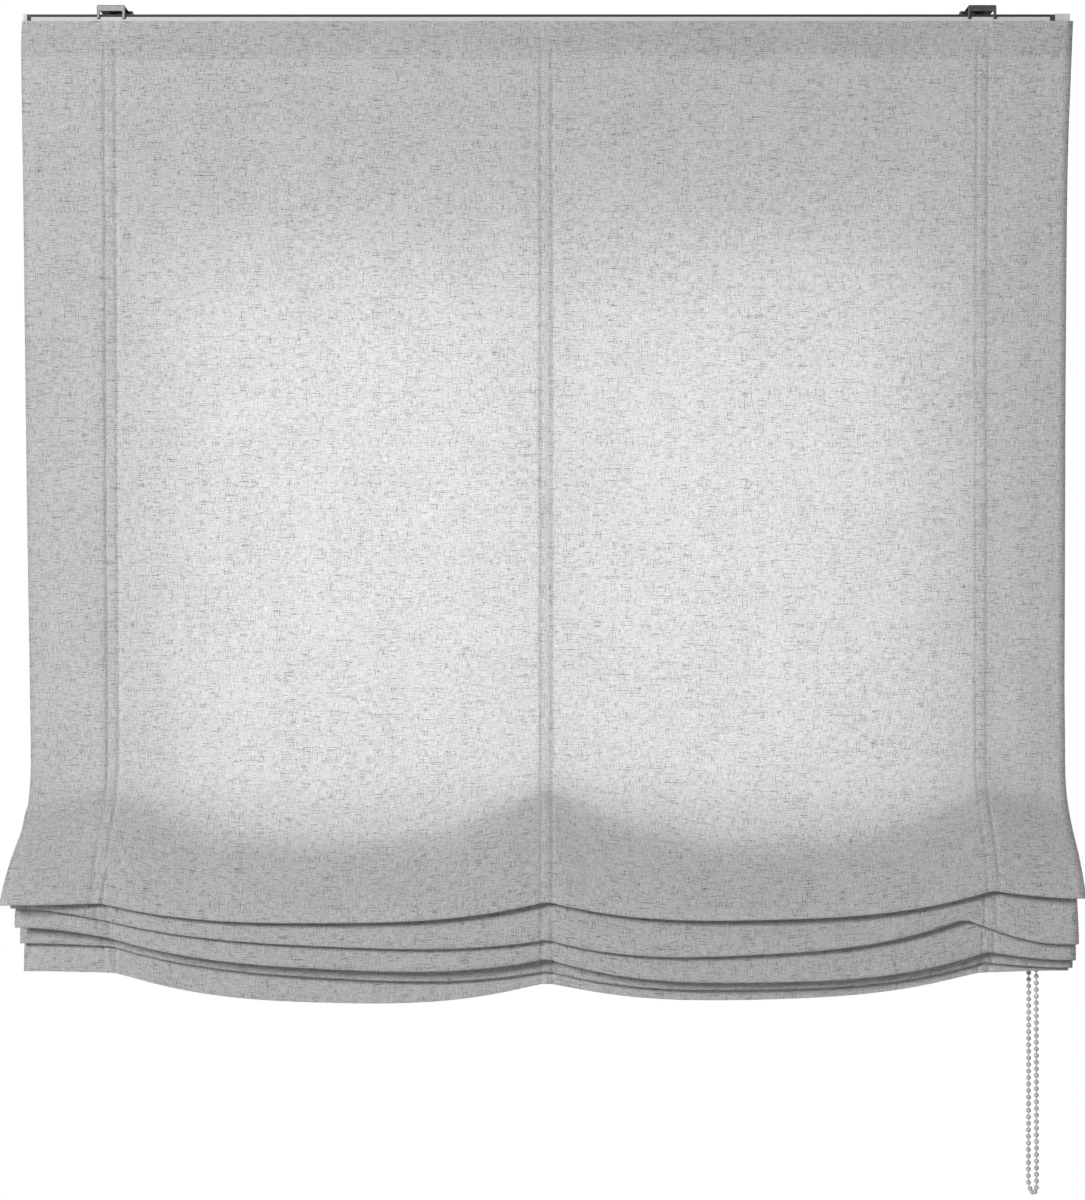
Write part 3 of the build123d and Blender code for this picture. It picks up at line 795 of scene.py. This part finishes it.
    def column(self, x: float) -> list[Vector]:
        """The control points down the cloth at one place across it.

        Args:
            x: the place across the flat cloth.

        Returns:
            The points, with both ends doubled.
        """
        key = round(x, 3)
        if key not in self.columns:
            points = [Vector((self.sideways(x, row), row.depth(x), row.height(x))) for row in self.rows]
            self.columns[key] = [points[0], *points, points[-1]]
        return self.columns[key]

    def bare(self, x: float, t: float) -> Vector:
        """The surface without its ripples, by a quadratic spline down the column.

        Args:
            x: the place across the flat cloth.
            t: the place down the rows.

        Returns:
            The point in millimetres.
        """
        points = self.column(x)
        index = min(int(t), len(points) - 3)
        f = t - index
        weights = ((1 - f) ** 2 / 2, 0.5 + f - f * f, f * f / 2)
        return sum((point * weight for point, weight in zip(points[index : index + 3], weights)), Vector())

    def from_tape(self, x: float) -> float:
        """How far a place lies from the middle of the nearest tape."""
        return min(abs(abs(x) - self.tape_x), abs(x))

    def ripple(self, x: float, z: float) -> float:
        """How far the hanging cloth strays to and fro, for its own slack and the pull of the seams."""
        hanging = smooth((self.top - self.held_top - z) / self.hang_ease)
        pucker = self.puckers.at(x, z) * math.exp(-self.from_tape(x) / self.pucker_reach)
        return hanging * (self.sway.at(x, z) + self.pleats.at(x, z) + pucker)

    def seam(self, x: float, z: float) -> float:
        """How far the stitch lines pull the cloth in beside each tape, a little unevenly.

        Args:
            x: the place across the flat cloth.
            z: the height.

        Returns:
            The depth of the dent.
        """
        from_line = (self.from_tape(x) - self.seam_offset) / self.seam_width
        if abs(from_line) > self.seam_reach:
            return 0.0
        clear_of_rail = self.top_dent + (1 - self.top_dent) * smooth((self.rail_foot - z) / self.rail_ease)
        uneven = 1.0 + self.seam_uneven.at(x, z)
        return self.seam_dent * clear_of_rail * uneven * math.exp(-from_line * from_line)

    def tuck(self, x: float, z: float) -> float:
        """How far the cloth stands out where the left seam is caught on the slant in the first fold.

        Args:
            x: the place across the flat cloth.
            z: the height.

        Returns:
            The height of the ridge.
        """
        top, foot = self.tuck_heights
        share = (top - z) / (top - foot)
        if not 0.0 < share < 1.0:
            return 0.0
        start, end = self.tuck_places
        out = (x - start - (end - start) * share) / self.tuck_width
        return self.tuck_rise * math.sin(math.pi * share) ** 0.5 * math.exp(-out * out)

    def at(self, x: float, t: float, lift: float = 0.0) -> Vector:
        """A point on the cloth in metres.

        Args:
            x: the place across the flat cloth.
            t: the place down the rows.
            lift: how far behind the front face, in millimetres.

        Returns:
            The point.
        """
        point = self.bare(x, t)
        sway = self.ripple(x, point.z) * (1.0 if point.z > self.folds_start else self.fold_sway)
        point.y += sway + self.seam(x, point.z) - self.tuck(x, point.z)
        if lift:
            point += self.behind(x, t) * lift
        return point * MM

    def behind(self, x: float, t: float) -> Vector:
        """The direction square to the cloth, to its wall side.

        Args:
            x: the place across the flat cloth.
            t: the place down the rows.

        Returns:
            The direction.
        """
        step = 0.05
        down = self.bare(x, min(t + step, self.span)) - self.bare(x, max(t - step, 0.0))
        side = self.bare(x + 1.0, t) - self.bare(x - 1.0, t)
        return side.cross(-down).normalized() * -1.0

    @property
    def span(self) -> float:
        """The value of t at the hem."""
        return float(len(self.rows))

    def stops(self) -> list[float]:
        """The values of t at which the mesh has a row of its own.

        Returns:
            The values in order.
        """
        values = [0.0]
        for index, row in enumerate(self.rows):
            values += [index + (k + 1) / row.steps for k in range(row.steps)]
        return values

    def measure(self, x: float) -> list[tuple[float, float]]:
        """The length down the cloth against t, at one place across it.

        Args:
            x: the place across the flat cloth.

        Returns:
            Each t with its length in millimetres.
        """
        table, total, before = [(0.0, 0.0)], 0.0, self.bare(x, 0.0)
        for t in self.stops()[1:]:
            here = self.bare(x, t)
            total += (here - before).length
            table.append((t, total))
            before = here
        return table

    def length_at(self, t: float) -> float:
        """The length down the cloth to t.

        Args:
            t: the place down the rows.

        Returns:
            The length in millimetres.
        """
        for (t0, l0), (t1, l1) in zip(self.lengths, self.lengths[1:]):
            if t <= t1:
                return l0 + (l1 - l0) * (t - t0) / (t1 - t0)
        return self.lengths[-1][1]

    def find(self, x: float, z: float) -> float:
        """The value of t at which the panel passes a height.

        Args:
            x: the place across the flat cloth.
            z: the height.

        Returns:
            The place down the rows.
        """
        t = 0.0
        while t < self.span and self.bare(x, t).z > z:
            t += self.search
        return t


# ---------------------------------------------------------------- pieces


def show(name: str, data: bpy.types.ID) -> bpy.types.Object:
    """Puts data in the scene, at the origin."""
    shown = bpy.data.objects.new(name, data)
    bpy.context.scene.collection.objects.link(shown)
    return shown


def new_piece(name: str, mesh: bmesh.types.BMesh, material: bpy.types.Material) -> bpy.types.Object:
    """Turns a finished bmesh into a shown piece.

    Args:
        name: the piece's name.
        mesh: the bmesh, which is freed.
        material: its finish.

    Returns:
        The object, at the origin.
    """
    data = bpy.data.meshes.new(name)
    mesh.to_mesh(data)
    mesh.free()
    data.shade_smooth()
    data.materials.append(material)
    log.info("%s: %d faces", name, len(data.polygons))
    return show(name, data)


def lay_grid(columns: list[float], stops: list[float], place: Callable[[float, float], Vector],
             flat: Callable[[float, float], tuple[float, float]]) -> bmesh.types.BMesh:
    """A grid laid on a surface, with a flat map in metres.

    Args:
        columns: places across.
        stops: places down.
        place: the surface.
        flat: the flat map at a place.

    Returns:
        The grid, with its faces to the room.
    """
    mesh = bmesh.new()
    across, down = len(columns) - 1, len(stops) - 1
    bmesh.ops.create_grid(mesh, x_segments=across, y_segments=down, size=0.5)
    uv_layer = mesh.loops.layers.uv.new(FLAT_MAP)
    for vert in mesh.verts:
        x = columns[round((vert.co.x + 0.5) * across)]
        t = stops[round((0.5 - vert.co.y) * down)]
        spot = flat(x, t)
        for loop in vert.link_loops:
            loop[uv_layer].uv = spot
        vert.co = place(x, t)
    return mesh


def add_in_batches(mesh: bmesh.types.BMesh, count: int, add: Callable[[bmesh.types.BMesh, int], None],
                   batch: int = 24) -> None:
    """Adds many small shapes a few at a time, which keeps a long row quick to build.

    Args:
        mesh: the bmesh that takes them.
        count: how many there are.
        add: adds the shape of one number to a bmesh.
        batch: how many are built together.
    """
    holder = bpy.data.meshes.new("batch")
    for first in range(0, count, batch):
        part = bmesh.new()
        for number in range(first, min(first + batch, count)):
            add(part, number)
        part.to_mesh(holder)
        part.free()
        mesh.from_mesh(holder)
    bpy.data.meshes.remove(holder)


def give_thickness(piece: bpy.types.Object, thickness: float) -> None:
    """Adds a wall behind the piece's own face.

    Args:
        piece: the piece.
        thickness: the wall in millimetres.
    """
    wall = piece.modifiers.new("thickness", "SOLIDIFY")
    wall.thickness = thickness * MM
    wall.offset = -1.0
    wall.use_even_offset = False


@dataclass
class Linens:
    """The linen cloth, its hems and the three sewn tapes."""

    shape: ClothShape
    cloth_t: float = 0.7
    column_pitch: float = 8.0
    fine_offsets: tuple[float, ...] = (1.2, 2.5, 3.8, 5.0, 6.2, 7.5, 9.3, 11.5)
    tape_half: float = 7.0
    tape_t: float = 0.4
    tape_top: float = -37.0
    layer_gap: float = 0.05
    top_hem: float = -48.6
    top_hem_t: float = 0.4
    hem_height: float = 28.0
    hem_t: float = 0.5
    hem_steps: int = 10
    hem_clear: float = 0.05
    closest: float = 0.01

    @property
    def tape_lift(self) -> float:
        """How far the tapes lie behind the cloth's front, over the top hem."""
        return self.cloth_t + 2 * self.layer_gap + self.top_hem_t

    @property
    def tape_back(self) -> float:
        """Where a stitch lies on the tapes' outer face, behind the cloth's front."""
        return self.tape_lift + self.tape_t + self.layer_gap

    def columns(self) -> list[float]:
        """Places across the cloth, closer together beside each tape.

        Returns:
            The places in order.
        """
        half, tape = self.shape.width / 2, self.shape.tape_x
        clear = self.fine_offsets[-1]
        places: set[float] = set()
        for centre in (-tape, 0.0, tape):
            places.add(centre)
            places.update(centre + side * offset for side in (-1, 1) for offset in self.fine_offsets)
        spans = ((-half, -tape - clear), (-tape + clear, -clear), (clear, tape - clear), (tape + clear, half))
        for start, end in spans:
            count = round((end - start) / self.column_pitch)
            places.update(start + (end - start) * k / count for k in range(count + 1))
        ordered = sorted(places)
        return [ordered[0]] + [b for a, b in zip(ordered, ordered[1:]) if b - a > self.closest]

    def flat(self, x: float, t: float) -> tuple[float, float]:
        """The place on the flat cloth in metres."""
        return (x * MM, -self.shape.length_at(t) * MM)

    def strip(self, name: str, across: list[float], stops: list[float], lift: float, thickness: float,
              material: bpy.types.Material) -> bpy.types.Object:
        """A layer that follows the cloth's back.

        Args:
            name: the piece's name.
            across: places across.
            stops: places down.
            lift: its face, behind the cloth's front, in millimetres.
            thickness: its wall in millimetres.
            material: its finish.

        Returns:
            The piece.
        """
        mesh = lay_grid(across, stops, lambda x, t: self.shape.at(x, t, lift), self.flat)
        piece = new_piece(name, mesh, material)
        give_thickness(piece, thickness)
        return piece

    def make(self, linen: bpy.types.Material, tape: bpy.types.Material) -> list[bpy.types.Object]:
        """Builds the cloth, both hems and the tapes, and hangs them on the frame.

        Args:
            linen: the cloth's finish.
            tape: the tapes' finish.

        Returns:
            The cloth first, then what is sewn to it.
        """
        shape = self.shape
        stops = shape.stops()
        mesh = lay_grid(self.columns(), stops, shape.at, self.flat)
        cloth = new_piece("linen_cloth", mesh, linen)
        give_thickness(cloth, self.cloth_t)
        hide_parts("fabric")

        lift = self.cloth_t + self.layer_gap
        fold_back = [t for t in stops if t <= shape.find(0.0, self.top_hem)]
        upper = self.strip("top_hem", self.columns(), fold_back[1:], lift, self.top_hem_t, linen)
        last = shape.span - self.hem_clear
        start = next(t for t, total in shape.lengths if total > shape.lengths[-1][1] - self.hem_height)
        hem_stops = [start + (last - start) * k / self.hem_steps for k in range(self.hem_steps + 1)]
        lower = self.strip("bottom_hem", self.columns(), hem_stops, lift, self.hem_t, linen)
        made = [cloth, upper, lower]
        for side, centre in (("left", -shape.tape_x), ("centre", 0.0), ("right", shape.tape_x)):
            across = [centre + self.tape_half * k / 2 for k in (-2, -1, 0, 1, 2)]
            first = shape.find(centre, self.tape_top)
            tape_stops = [first] + [t for t in stops if first < t < start]
            band = self.strip(f"sewn_tape_{side}", across, tape_stops, self.tape_lift, self.tape_t, tape)
            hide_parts(f"tape_{side}")
            made.append(band)
        for piece in made[1:3]:
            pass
        for piece in made:
            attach(piece, "root")
        return made


@dataclass
class Stitching:
    """Rows of lock stitches along the tapes and across the top hem."""

    shape: ClothShape
    pitch: float = 4.2
    length: float = 3.0
    radius: float = 0.26
    sides: int = 5
    search: float = 0.03
    sunk: float = -0.05
    front_top: float = -17.0
    back_top: float = -40.0
    hem_clear: float = 0.1
    tape_foot_clear: float = 3.0

    def sew(self, mesh: bmesh.types.BMesh, points: list[Vector]) -> None:
        """Adds a row of stitches, each sunk at both ends.

        Args:
            mesh: the bmesh that takes them.
            points: the needle holes in order, in metres.
        """
        add_in_batches(mesh, len(points) - 1, lambda part, k: self.stitch(part, points[k], points[k + 1]))

    def stitch(self, mesh: bmesh.types.BMesh, start: Vector, end: Vector) -> None:
        """Adds one stitch between two needle holes.

        Args:
            mesh: the bmesh that takes it.
            start: the first hole.
            end: the next hole.
        """
        along = end - start
        turn = along.to_track_quat("Z", "Y").to_matrix().to_4x4()
        thick, half = self.radius * MM, along.length * self.length / self.pitch / 2
        size = Matrix.Diagonal((thick, thick, half, 1))
        place = Matrix.Translation((start + end) / 2) @ turn @ size
        bmesh.ops.create_uvsphere(mesh, u_segments=self.sides, v_segments=4, radius=1.0, matrix=place)

    def down(self, mesh: bmesh.types.BMesh, x: float, first: float, last: float, lift: float) -> None:
        """A row of stitches down the cloth.

        Args:
            mesh: the bmesh that takes it.
            x: the place across.
            first: the first t.
            last: the last t.
            lift: how far behind the cloth's face, in millimetres.
        """
        t, points = first, [self.shape.at(x, first, lift)]
        while t < last:
            t += self.search
            here = self.shape.at(x, t, lift)
            if (here - points[-1]).length >= self.pitch * MM:
                points.append(here)
        self.sew(mesh, points)

    def across(self, mesh: bmesh.types.BMesh, z: float, reach: float) -> None:
        """A row of stitches along the top hem.

        Args:
            mesh: the bmesh that takes it.
            z: the height of the row.
            reach: how far it runs to each side.
        """
        t = self.shape.find(0.0, z)
        count = round(2 * reach / self.pitch)
        places = [-reach + 2 * reach * k / count for k in range(count + 1)]
        self.sew(mesh, [self.shape.at(x, t, self.sunk) for x in places])

    def make(self, thread: bpy.types.Material, hem_z: float, back_lift: float) -> list[bpy.types.Object]:
        """Builds the stitching of each tape and of the top hem.

        Args:
            thread: its finish.
            hem_z: the height of the top hem's seam.
            back_lift: where the back stitches lie, behind the cloth's front.

        Returns:
            The pieces.
        """
        made = []
        shape = self.shape
        front_end, back_end = shape.span - self.hem_clear, shape.span - self.tape_foot_clear
        for side, centre in (("left", -1.0), ("centre", 0.0), ("right", 1.0)):
            mesh = bmesh.new()
            x = centre * shape.tape_x
            for shift in (-shape.seam_offset, shape.seam_offset):
                self.down(mesh, x + shift, shape.find(x, self.front_top), front_end, self.sunk)
                self.down(mesh, x + shift, shape.find(x, self.back_top), back_end, back_lift)
            made.append(new_piece(f"tape_stitching_{side}", mesh, thread))
        mesh = bmesh.new()
        self.across(mesh, hem_z, shape.tape_x)
        made.append(new_piece("top_hem_stitching", mesh, thread))
        for piece in made:
            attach(piece, "root")
        return made


def nurbs(name: str, route: list[Triple], steps: int, radius: float = 0.0, rings: int = 0) -> bpy.types.Curve:
    """A smooth open line through a route's control points, or a tube along it.

    Args:
        name: the curve's name.
        route: its control points in metres.
        steps: its resolution.
        radius: the tube's radius, or none for a bare line.
        rings: the roundness of the tube.

    Returns:
        The curve.
    """
    curve = bpy.data.curves.new(name, "CURVE")
    curve.dimensions = "3D"
    curve.resolution_u = steps
    curve.bevel_depth = radius
    curve.bevel_resolution = rings
    curve.use_fill_caps = True
    spline = curve.splines.new("NURBS")
    spline.points.add(len(route) - 1)
    for point, place in zip(spline.points, route):
        point.co = (*place, 1.0)
    spline.order_u = 3
    spline.use_endpoint_u = True
    return curve


def curve_mesh(curve: bpy.types.Curve) -> bpy.types.Mesh:
    """The mesh of a curve, which the caller removes.

    Args:
        curve: the curve.

    Returns:
        The mesh.
    """
    holder = show(curve.name, curve)
    bpy.context.view_layer.update()
    data = bpy.data.meshes.new_from_object(holder)
    bpy.data.objects.remove(holder)
    return data


@dataclass
class BeadChain:
    """The endless bead chain: a core cord and its moulded beads, over the sprocket and down to its loop."""

    bead_r: float = 0.00225
    core_r: float = 0.0006
    pitch: float = 0.006
    phase: float = 0.003
    steps: int = 24
    route: tuple[Triple, ...] = (
        (0.443, 0.0, -0.01245),
        (0.443, -0.00395, -0.01245),
        (0.443, -0.00955, -0.01805),
        (0.443, -0.00955, -0.0365),
        (0.4446, -0.0094, -1.0620),
        (0.44465, -0.0094, -1.0738),
        (0.443, 0.0, -1.0793),
        (0.44135, 0.0094, -1.0738),
        (0.4414, 0.0094, -1.0620),
        (0.443, 0.00955, -0.0365),
        (0.443, 0.00955, -0.01805),
        (0.443, 0.00395, -0.01245),
        (0.443, 0.0, -0.01245),
    )

    def stations(self, points: list[Vector]) -> list[Vector]:
        """Evenly spaced places for the beads.

        Args:
            points: the core's line.

        Returns:
            The beads' centres.
        """
        total = sum((b - a).length for a, b in zip(points, points[1:]))
        count = round(total / self.pitch)
        gap = total / count
        places, walked, wanted = [], 0.0, self.phase
        for a, b in zip(points, points[1:]):
            step = (b - a).length
            while len(places) < count and wanted <= walked + step:
                places.append(a.lerp(b, (wanted - walked) / step))
                wanted += gap
            walked += step
        log.info("bead chain: %.1f mm, %d beads", total / MM, len(places))
        return places

    def bead(self, mesh: bmesh.types.BMesh, place: Vector) -> None:
        """Adds one round bead."""
        bmesh.ops.create_uvsphere(
            mesh, u_segments=10, v_segments=7, radius=self.bead_r, matrix=Matrix.Translation(place)
        )

    def make(self, material: bpy.types.Material) -> bpy.types.Object:
        """Args:
            material: its finish.

        Returns:
            The piece.
        """
        line = curve_mesh(nurbs("chain_line", self.route, self.steps))
        points = [vert.co.copy() for vert in line.vertices]
        core = curve_mesh(nurbs("chain_core", self.route, self.steps, self.core_r, 1))
        mesh = bmesh.new()
        mesh.from_mesh(core)
        for data in (line, core):
            bpy.data.meshes.remove(data)
        places = self.stations(points)
        add_in_batches(mesh, len(places), lambda part, k: self.bead(part, places[k]))
        chain = new_piece("bead_chain_loop", mesh, material)
        length = sum((b - a).length for a, b in zip(points, points[1:]))
        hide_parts("bead_chain")
        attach(chain, "root")
        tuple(self.route[0])
        return chain


@dataclass
class LiftCords:
    """The three lift cords, from the drums down the rings to their stops, and the turns on the drums."""

    cord_r: float = 0.0006
    depth: float = -0.0091
    top: float = -0.022
    foot: float = -0.76425
    end_run: float = 0.008
    steps: int = 12
    wound_r: float = 0.009
    wound_share: float = 0.98
    wound_sides: int = 6
    turns: int = 15
    turn_steps: int = 28

    def hanging(self, side: str, x: float, material: bpy.types.Material) -> None:
        """One taut cord.

        Args:
            side: which of the three.
            x: its place along the rail.
            material: its finish.
        """
        heights = (self.top, self.top - self.end_run, self.foot + self.end_run, self.foot)
        route = [(x, self.depth, z) for z in heights]
        curve = nurbs(f"lift_cord_line_{side}", route, self.steps, self.cord_r, 2)
        cord = show(f"braided_lift_cord_{side}", curve)
        curve.materials.append(material)
        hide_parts(f"lift_cord_{side}")
        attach(cord, "root")

    def winding(self, side: str, x: float, material: bpy.types.Material) -> None:
        """The turns of one cord on its drum, which turn with the shaft.

        Args:
            side: which of the three.
            x: where the cord leaves the drum.
            material: its finish.
        """
        mesh = bmesh.new()
        pitch = 2 * self.cord_r
        start = Vector((x + pitch, 0.0, self.top + self.wound_r))
        radius = self.cord_r * self.wound_share
        bmesh.ops.create_circle(mesh, segments=self.wound_sides, radius=radius, cap_ends=False)
        upright = Matrix.Rotation(math.pi / 2, 3, "X")
        bmesh.ops.rotate(mesh, verts=mesh.verts[:], cent=(0, 0, 0), matrix=upright)
        bmesh.ops.translate(mesh, verts=mesh.verts[:], vec=start)
        bmesh.ops.spin(
            mesh, geom=mesh.verts[:] + mesh.edges[:], cent=(0, 0, self.top), axis=(1, 0, 0),
            dvec=(pitch / self.turn_steps, 0, 0), angle=2 * math.pi * self.turns,
            steps=self.turns * self.turn_steps, use_merge=False,
        )
        ends = [edge for edge in mesh.edges if len(edge.link_faces) == 1]
        bmesh.ops.holes_fill(mesh, edges=ends, sides=0)
        bmesh.ops.recalc_face_normals(mesh, faces=mesh.faces[:])
        piece = new_piece(f"wound_cord_{side}", mesh, material)
        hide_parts(f"cord_winding_{side}")
        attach(piece, "drive")

    def make(self, places: dict[str, float], material: bpy.types.Material) -> None:
        """Builds every cord and its winding.

        Args:
            places: where each cord hangs along the rail, in millimetres.
            material: the cords' finish.
        """
        for side, x in places.items():
            self.hanging(side, x * MM, material)
            self.winding(side, x * MM, material)


@dataclass
class Hardware:
    """The rail, drive, drums, rings and brackets, which keep their shapes and take their finishes."""

    finishes: dict[str, tuple[str, ...]]

    def dress(self, materials: dict[str, bpy.types.Material]) -> None:
        """Gives each node the finish that it is listed under.

        Args:
            materials: the finishes by name.
        """
        for finish, nodes in self.finishes.items():
            for name in nodes:
                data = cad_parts[name].data
                data.materials.clear()
                data.materials.append(materials[finish])
                log.info("%s: %s", name, finish)


@dataclass(frozen=True)
class Panel:
    """One soft rectangle of light, in metres and watts, that the camera doesn't see."""

    name: str
    place: Triple
    aim: Triple
    size: tuple[float, float]
    power: float

    def hang(self) -> None:
        """Adds the light to the scene."""
        data = bpy.data.lights.new(self.name, "AREA")
        data.shape = "RECTANGLE"
        data.size, data.size_y = self.size
        data.energy = self.power
        lamp = show(self.name, data)
        lamp.location = self.place
        lamp.rotation_euler = (Vector(self.aim) - Vector(self.place)).to_track_quat("-Z", "Y").to_euler()
        lamp.visible_camera = False


@dataclass
class Studio:
    """A plain pale floor, soft lights and the camera."""

    distance: float = 2.018
    camera_x: float = -0.0037
    camera_z: float = -0.538
    lens: float = 66.4
    floor_z: float = -2.4
    floor_half: float = 2.4
    floor_tones: tuple[float, float] = (0.84, 0.88)
    sky_as_light: float = 0.20
    middle: Triple = (0.0, 0.0, -0.6)
    daylight_x: float = 0.185
    daylight_y: float = 0.065
    daylight_z: float = -0.4975
    daylight_size: tuple[float, float] = (0.35, 0.55)
    daylight_power: float = 1.45

    def floor(self) -> None:
        """Lays the floor."""
        mesh = bmesh.new()
        bmesh.ops.create_grid(mesh, x_segments=1, y_segments=1, size=self.floor_half)
        bmesh.ops.translate(mesh, verts=mesh.verts[:], vec=(0, -self.floor_half / 3, self.floor_z))
        recipe = Recipe("pale_floor")
        dark, pale = self.floor_tones
        recipe.colour(recipe.shades(recipe.speckle(even(4), 3.0), [(0.3, even(dark)), (0.7, even(pale))]))
        recipe.settle(roughness=0.7)
        floor = new_piece("studio_floor", mesh, recipe.material)

    def world(self) -> None:
        """White surroundings: bright where the camera looks, softer as a light."""
        world = bpy.data.worlds.new("studio")
        bpy.context.scene.world = world
        world.use_nodes = True
        tree = world.node_tree
        tree.nodes.clear()
        output = tree.nodes.new("ShaderNodeOutputWorld")
        mixer = tree.nodes.new("ShaderNodeMixShader")
        rays = tree.nodes.new("ShaderNodeLightPath")
        for index, strength in ((1, self.sky_as_light), (2, 1.0)):
            sky = tree.nodes.new("ShaderNodeBackground")
            sky.inputs["Color"].default_value = (1, 1, 1, 1)
            sky.inputs["Strength"].default_value = strength
            tree.links.new(sky.outputs["Background"], mixer.inputs[index])
        tree.links.new(rays.outputs["Is Camera Ray"], mixer.inputs["Fac"])
        tree.links.new(mixer.outputs["Shader"], output.inputs["Surface"])

    def lights(self) -> None:
        """Hangs the room's lights, a rear light, and daylight close behind each span of the cloth."""
        Panel("key", (-1.95, -3.55, 0.8), self.middle, (1.0, 1.0), 192).hang()
        Panel("fill", (1.9, -3.4, -0.4), self.middle, (1.6, 1.6), 11).hang()
        Panel("rear", (1.2, 3.4, 0.8), self.middle, (1.6, 1.6), 34).hang()
        for name, x in (("glow_left", -self.daylight_x), ("glow_right", self.daylight_x)):
            place, aim = (x, self.daylight_y, self.daylight_z), (x, 0, self.daylight_z)
            Panel(name, place, aim, self.daylight_size, self.daylight_power).hang()

    def camera(self) -> None:
        """Sets the camera square to the cloth."""
        data = bpy.data.cameras.new("camera")
        data.lens = self.lens
        camera = show("camera", data)
        camera.location = (self.camera_x, -self.distance, self.camera_z)
        camera.rotation_euler = (math.pi / 2, 0, 0)
        bpy.context.scene.camera = camera
        bpy.context.scene.view_settings.view_transform = "Standard"

    def make(self) -> None:
        """Sets the floor, the surroundings, the lights and the camera."""
        self.floor()
        self.world()
        self.lights()
        self.camera()


FINISHES = {
    "rail": PowderCoat(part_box("headrail")[0][1]),
    "hooks": Pile("hook_strip", 0.72, 900),
    "loops": Pile("loop_strip", 0.62, 1500),
    "dark": Plastic("dark_moulding", (0.035, 0.036, 0.04)),
    "white": Plastic("white_moulding", (0.46, 0.46, 0.456), 0.5, shine=0.25),
    "grey": Plastic("grey_moulding", (0.05, 0.05, 0.053), 0.55, shine=0.12),
    "cradle": Plastic("cradle_moulding", (0.62, 0.62, 0.60)),
    "clear": Plastic("clear_moulding", (0.90, 0.92, 0.93), 0.14, 900, 0.00001, 0.75),
    "bead": Plastic("bead_moulding", (0.42, 0.42, 0.43), 0.18, 700, 0.00001, 0.08, 0.6),
    "spring": Steel("spring_steel", (0.50, 0.49, 0.47), 0.30, (900, 900, 900)),
    "bar": Steel("drawn_bar", (0.62, 0.61, 0.60), 0.36),
    "plate": Steel("zinc_plated_steel", (0.12, 0.12, 0.122), 0.48, rounding=0.0009),
}

NODES = {
    "rail": ("headrail",),
    "hooks": ("hook_tape",),
    "loops": ("loop_tape",),
    "dark": ("cord_drum_left", "cord_drum_centre", "cord_drum_right"),
    "white": ("end_cap", "drive_cover"),
    "grey": ("idler_plug", "drive_housing", "sprocket", "drive_core", "shaft_idler"),
    "cradle": ("cradle_left", "cradle_centre", "cradle_right"),
    "clear": (
        "rings_left", "rings_centre", "rings_right", "chain_connector",
        "cord_stop_left", "cord_stop_centre", "cord_stop_right",
    ),
    "spring": ("wrap_spring",),
    "bar": ("shaft", "drive_hub"),
    "plate": ("bracket_left", "bracket_right", "lever_left", "lever_right", "rivet_left", "rivet_right"),
}


def main() -> None:
    """Builds each sub-assembly in order."""
    logging.basicConfig(level=logging.INFO, format="%(name)s %(message)s")
    shape = ClothShape()
    linens = Linens(shape)
    cloth, *sewn = linens.make(Linen().make(), Tape("sewn_tape", 0.95, 0.93).make())
    thread = Thread("sewing_thread", (0.34, 0.34, 0.335)).make()
    stitching = Stitching(shape).make(thread, linens.top_hem, linens.tape_back)
    materials = {name: finish.make() for name, finish in FINISHES.items()}
    BeadChain().make(materials["bead"])
    cord = Thread("braided_cord", (0.78, 0.78, 0.76), 1300.0, 0.0002).make()
    LiftCords().make({"left": -shape.tape_x, "centre": 0.0, "right": shape.tape_x}, cord)
    Hardware(NODES).dress(materials)
    Studio().make()


if __name__ == "__main__":
    main()
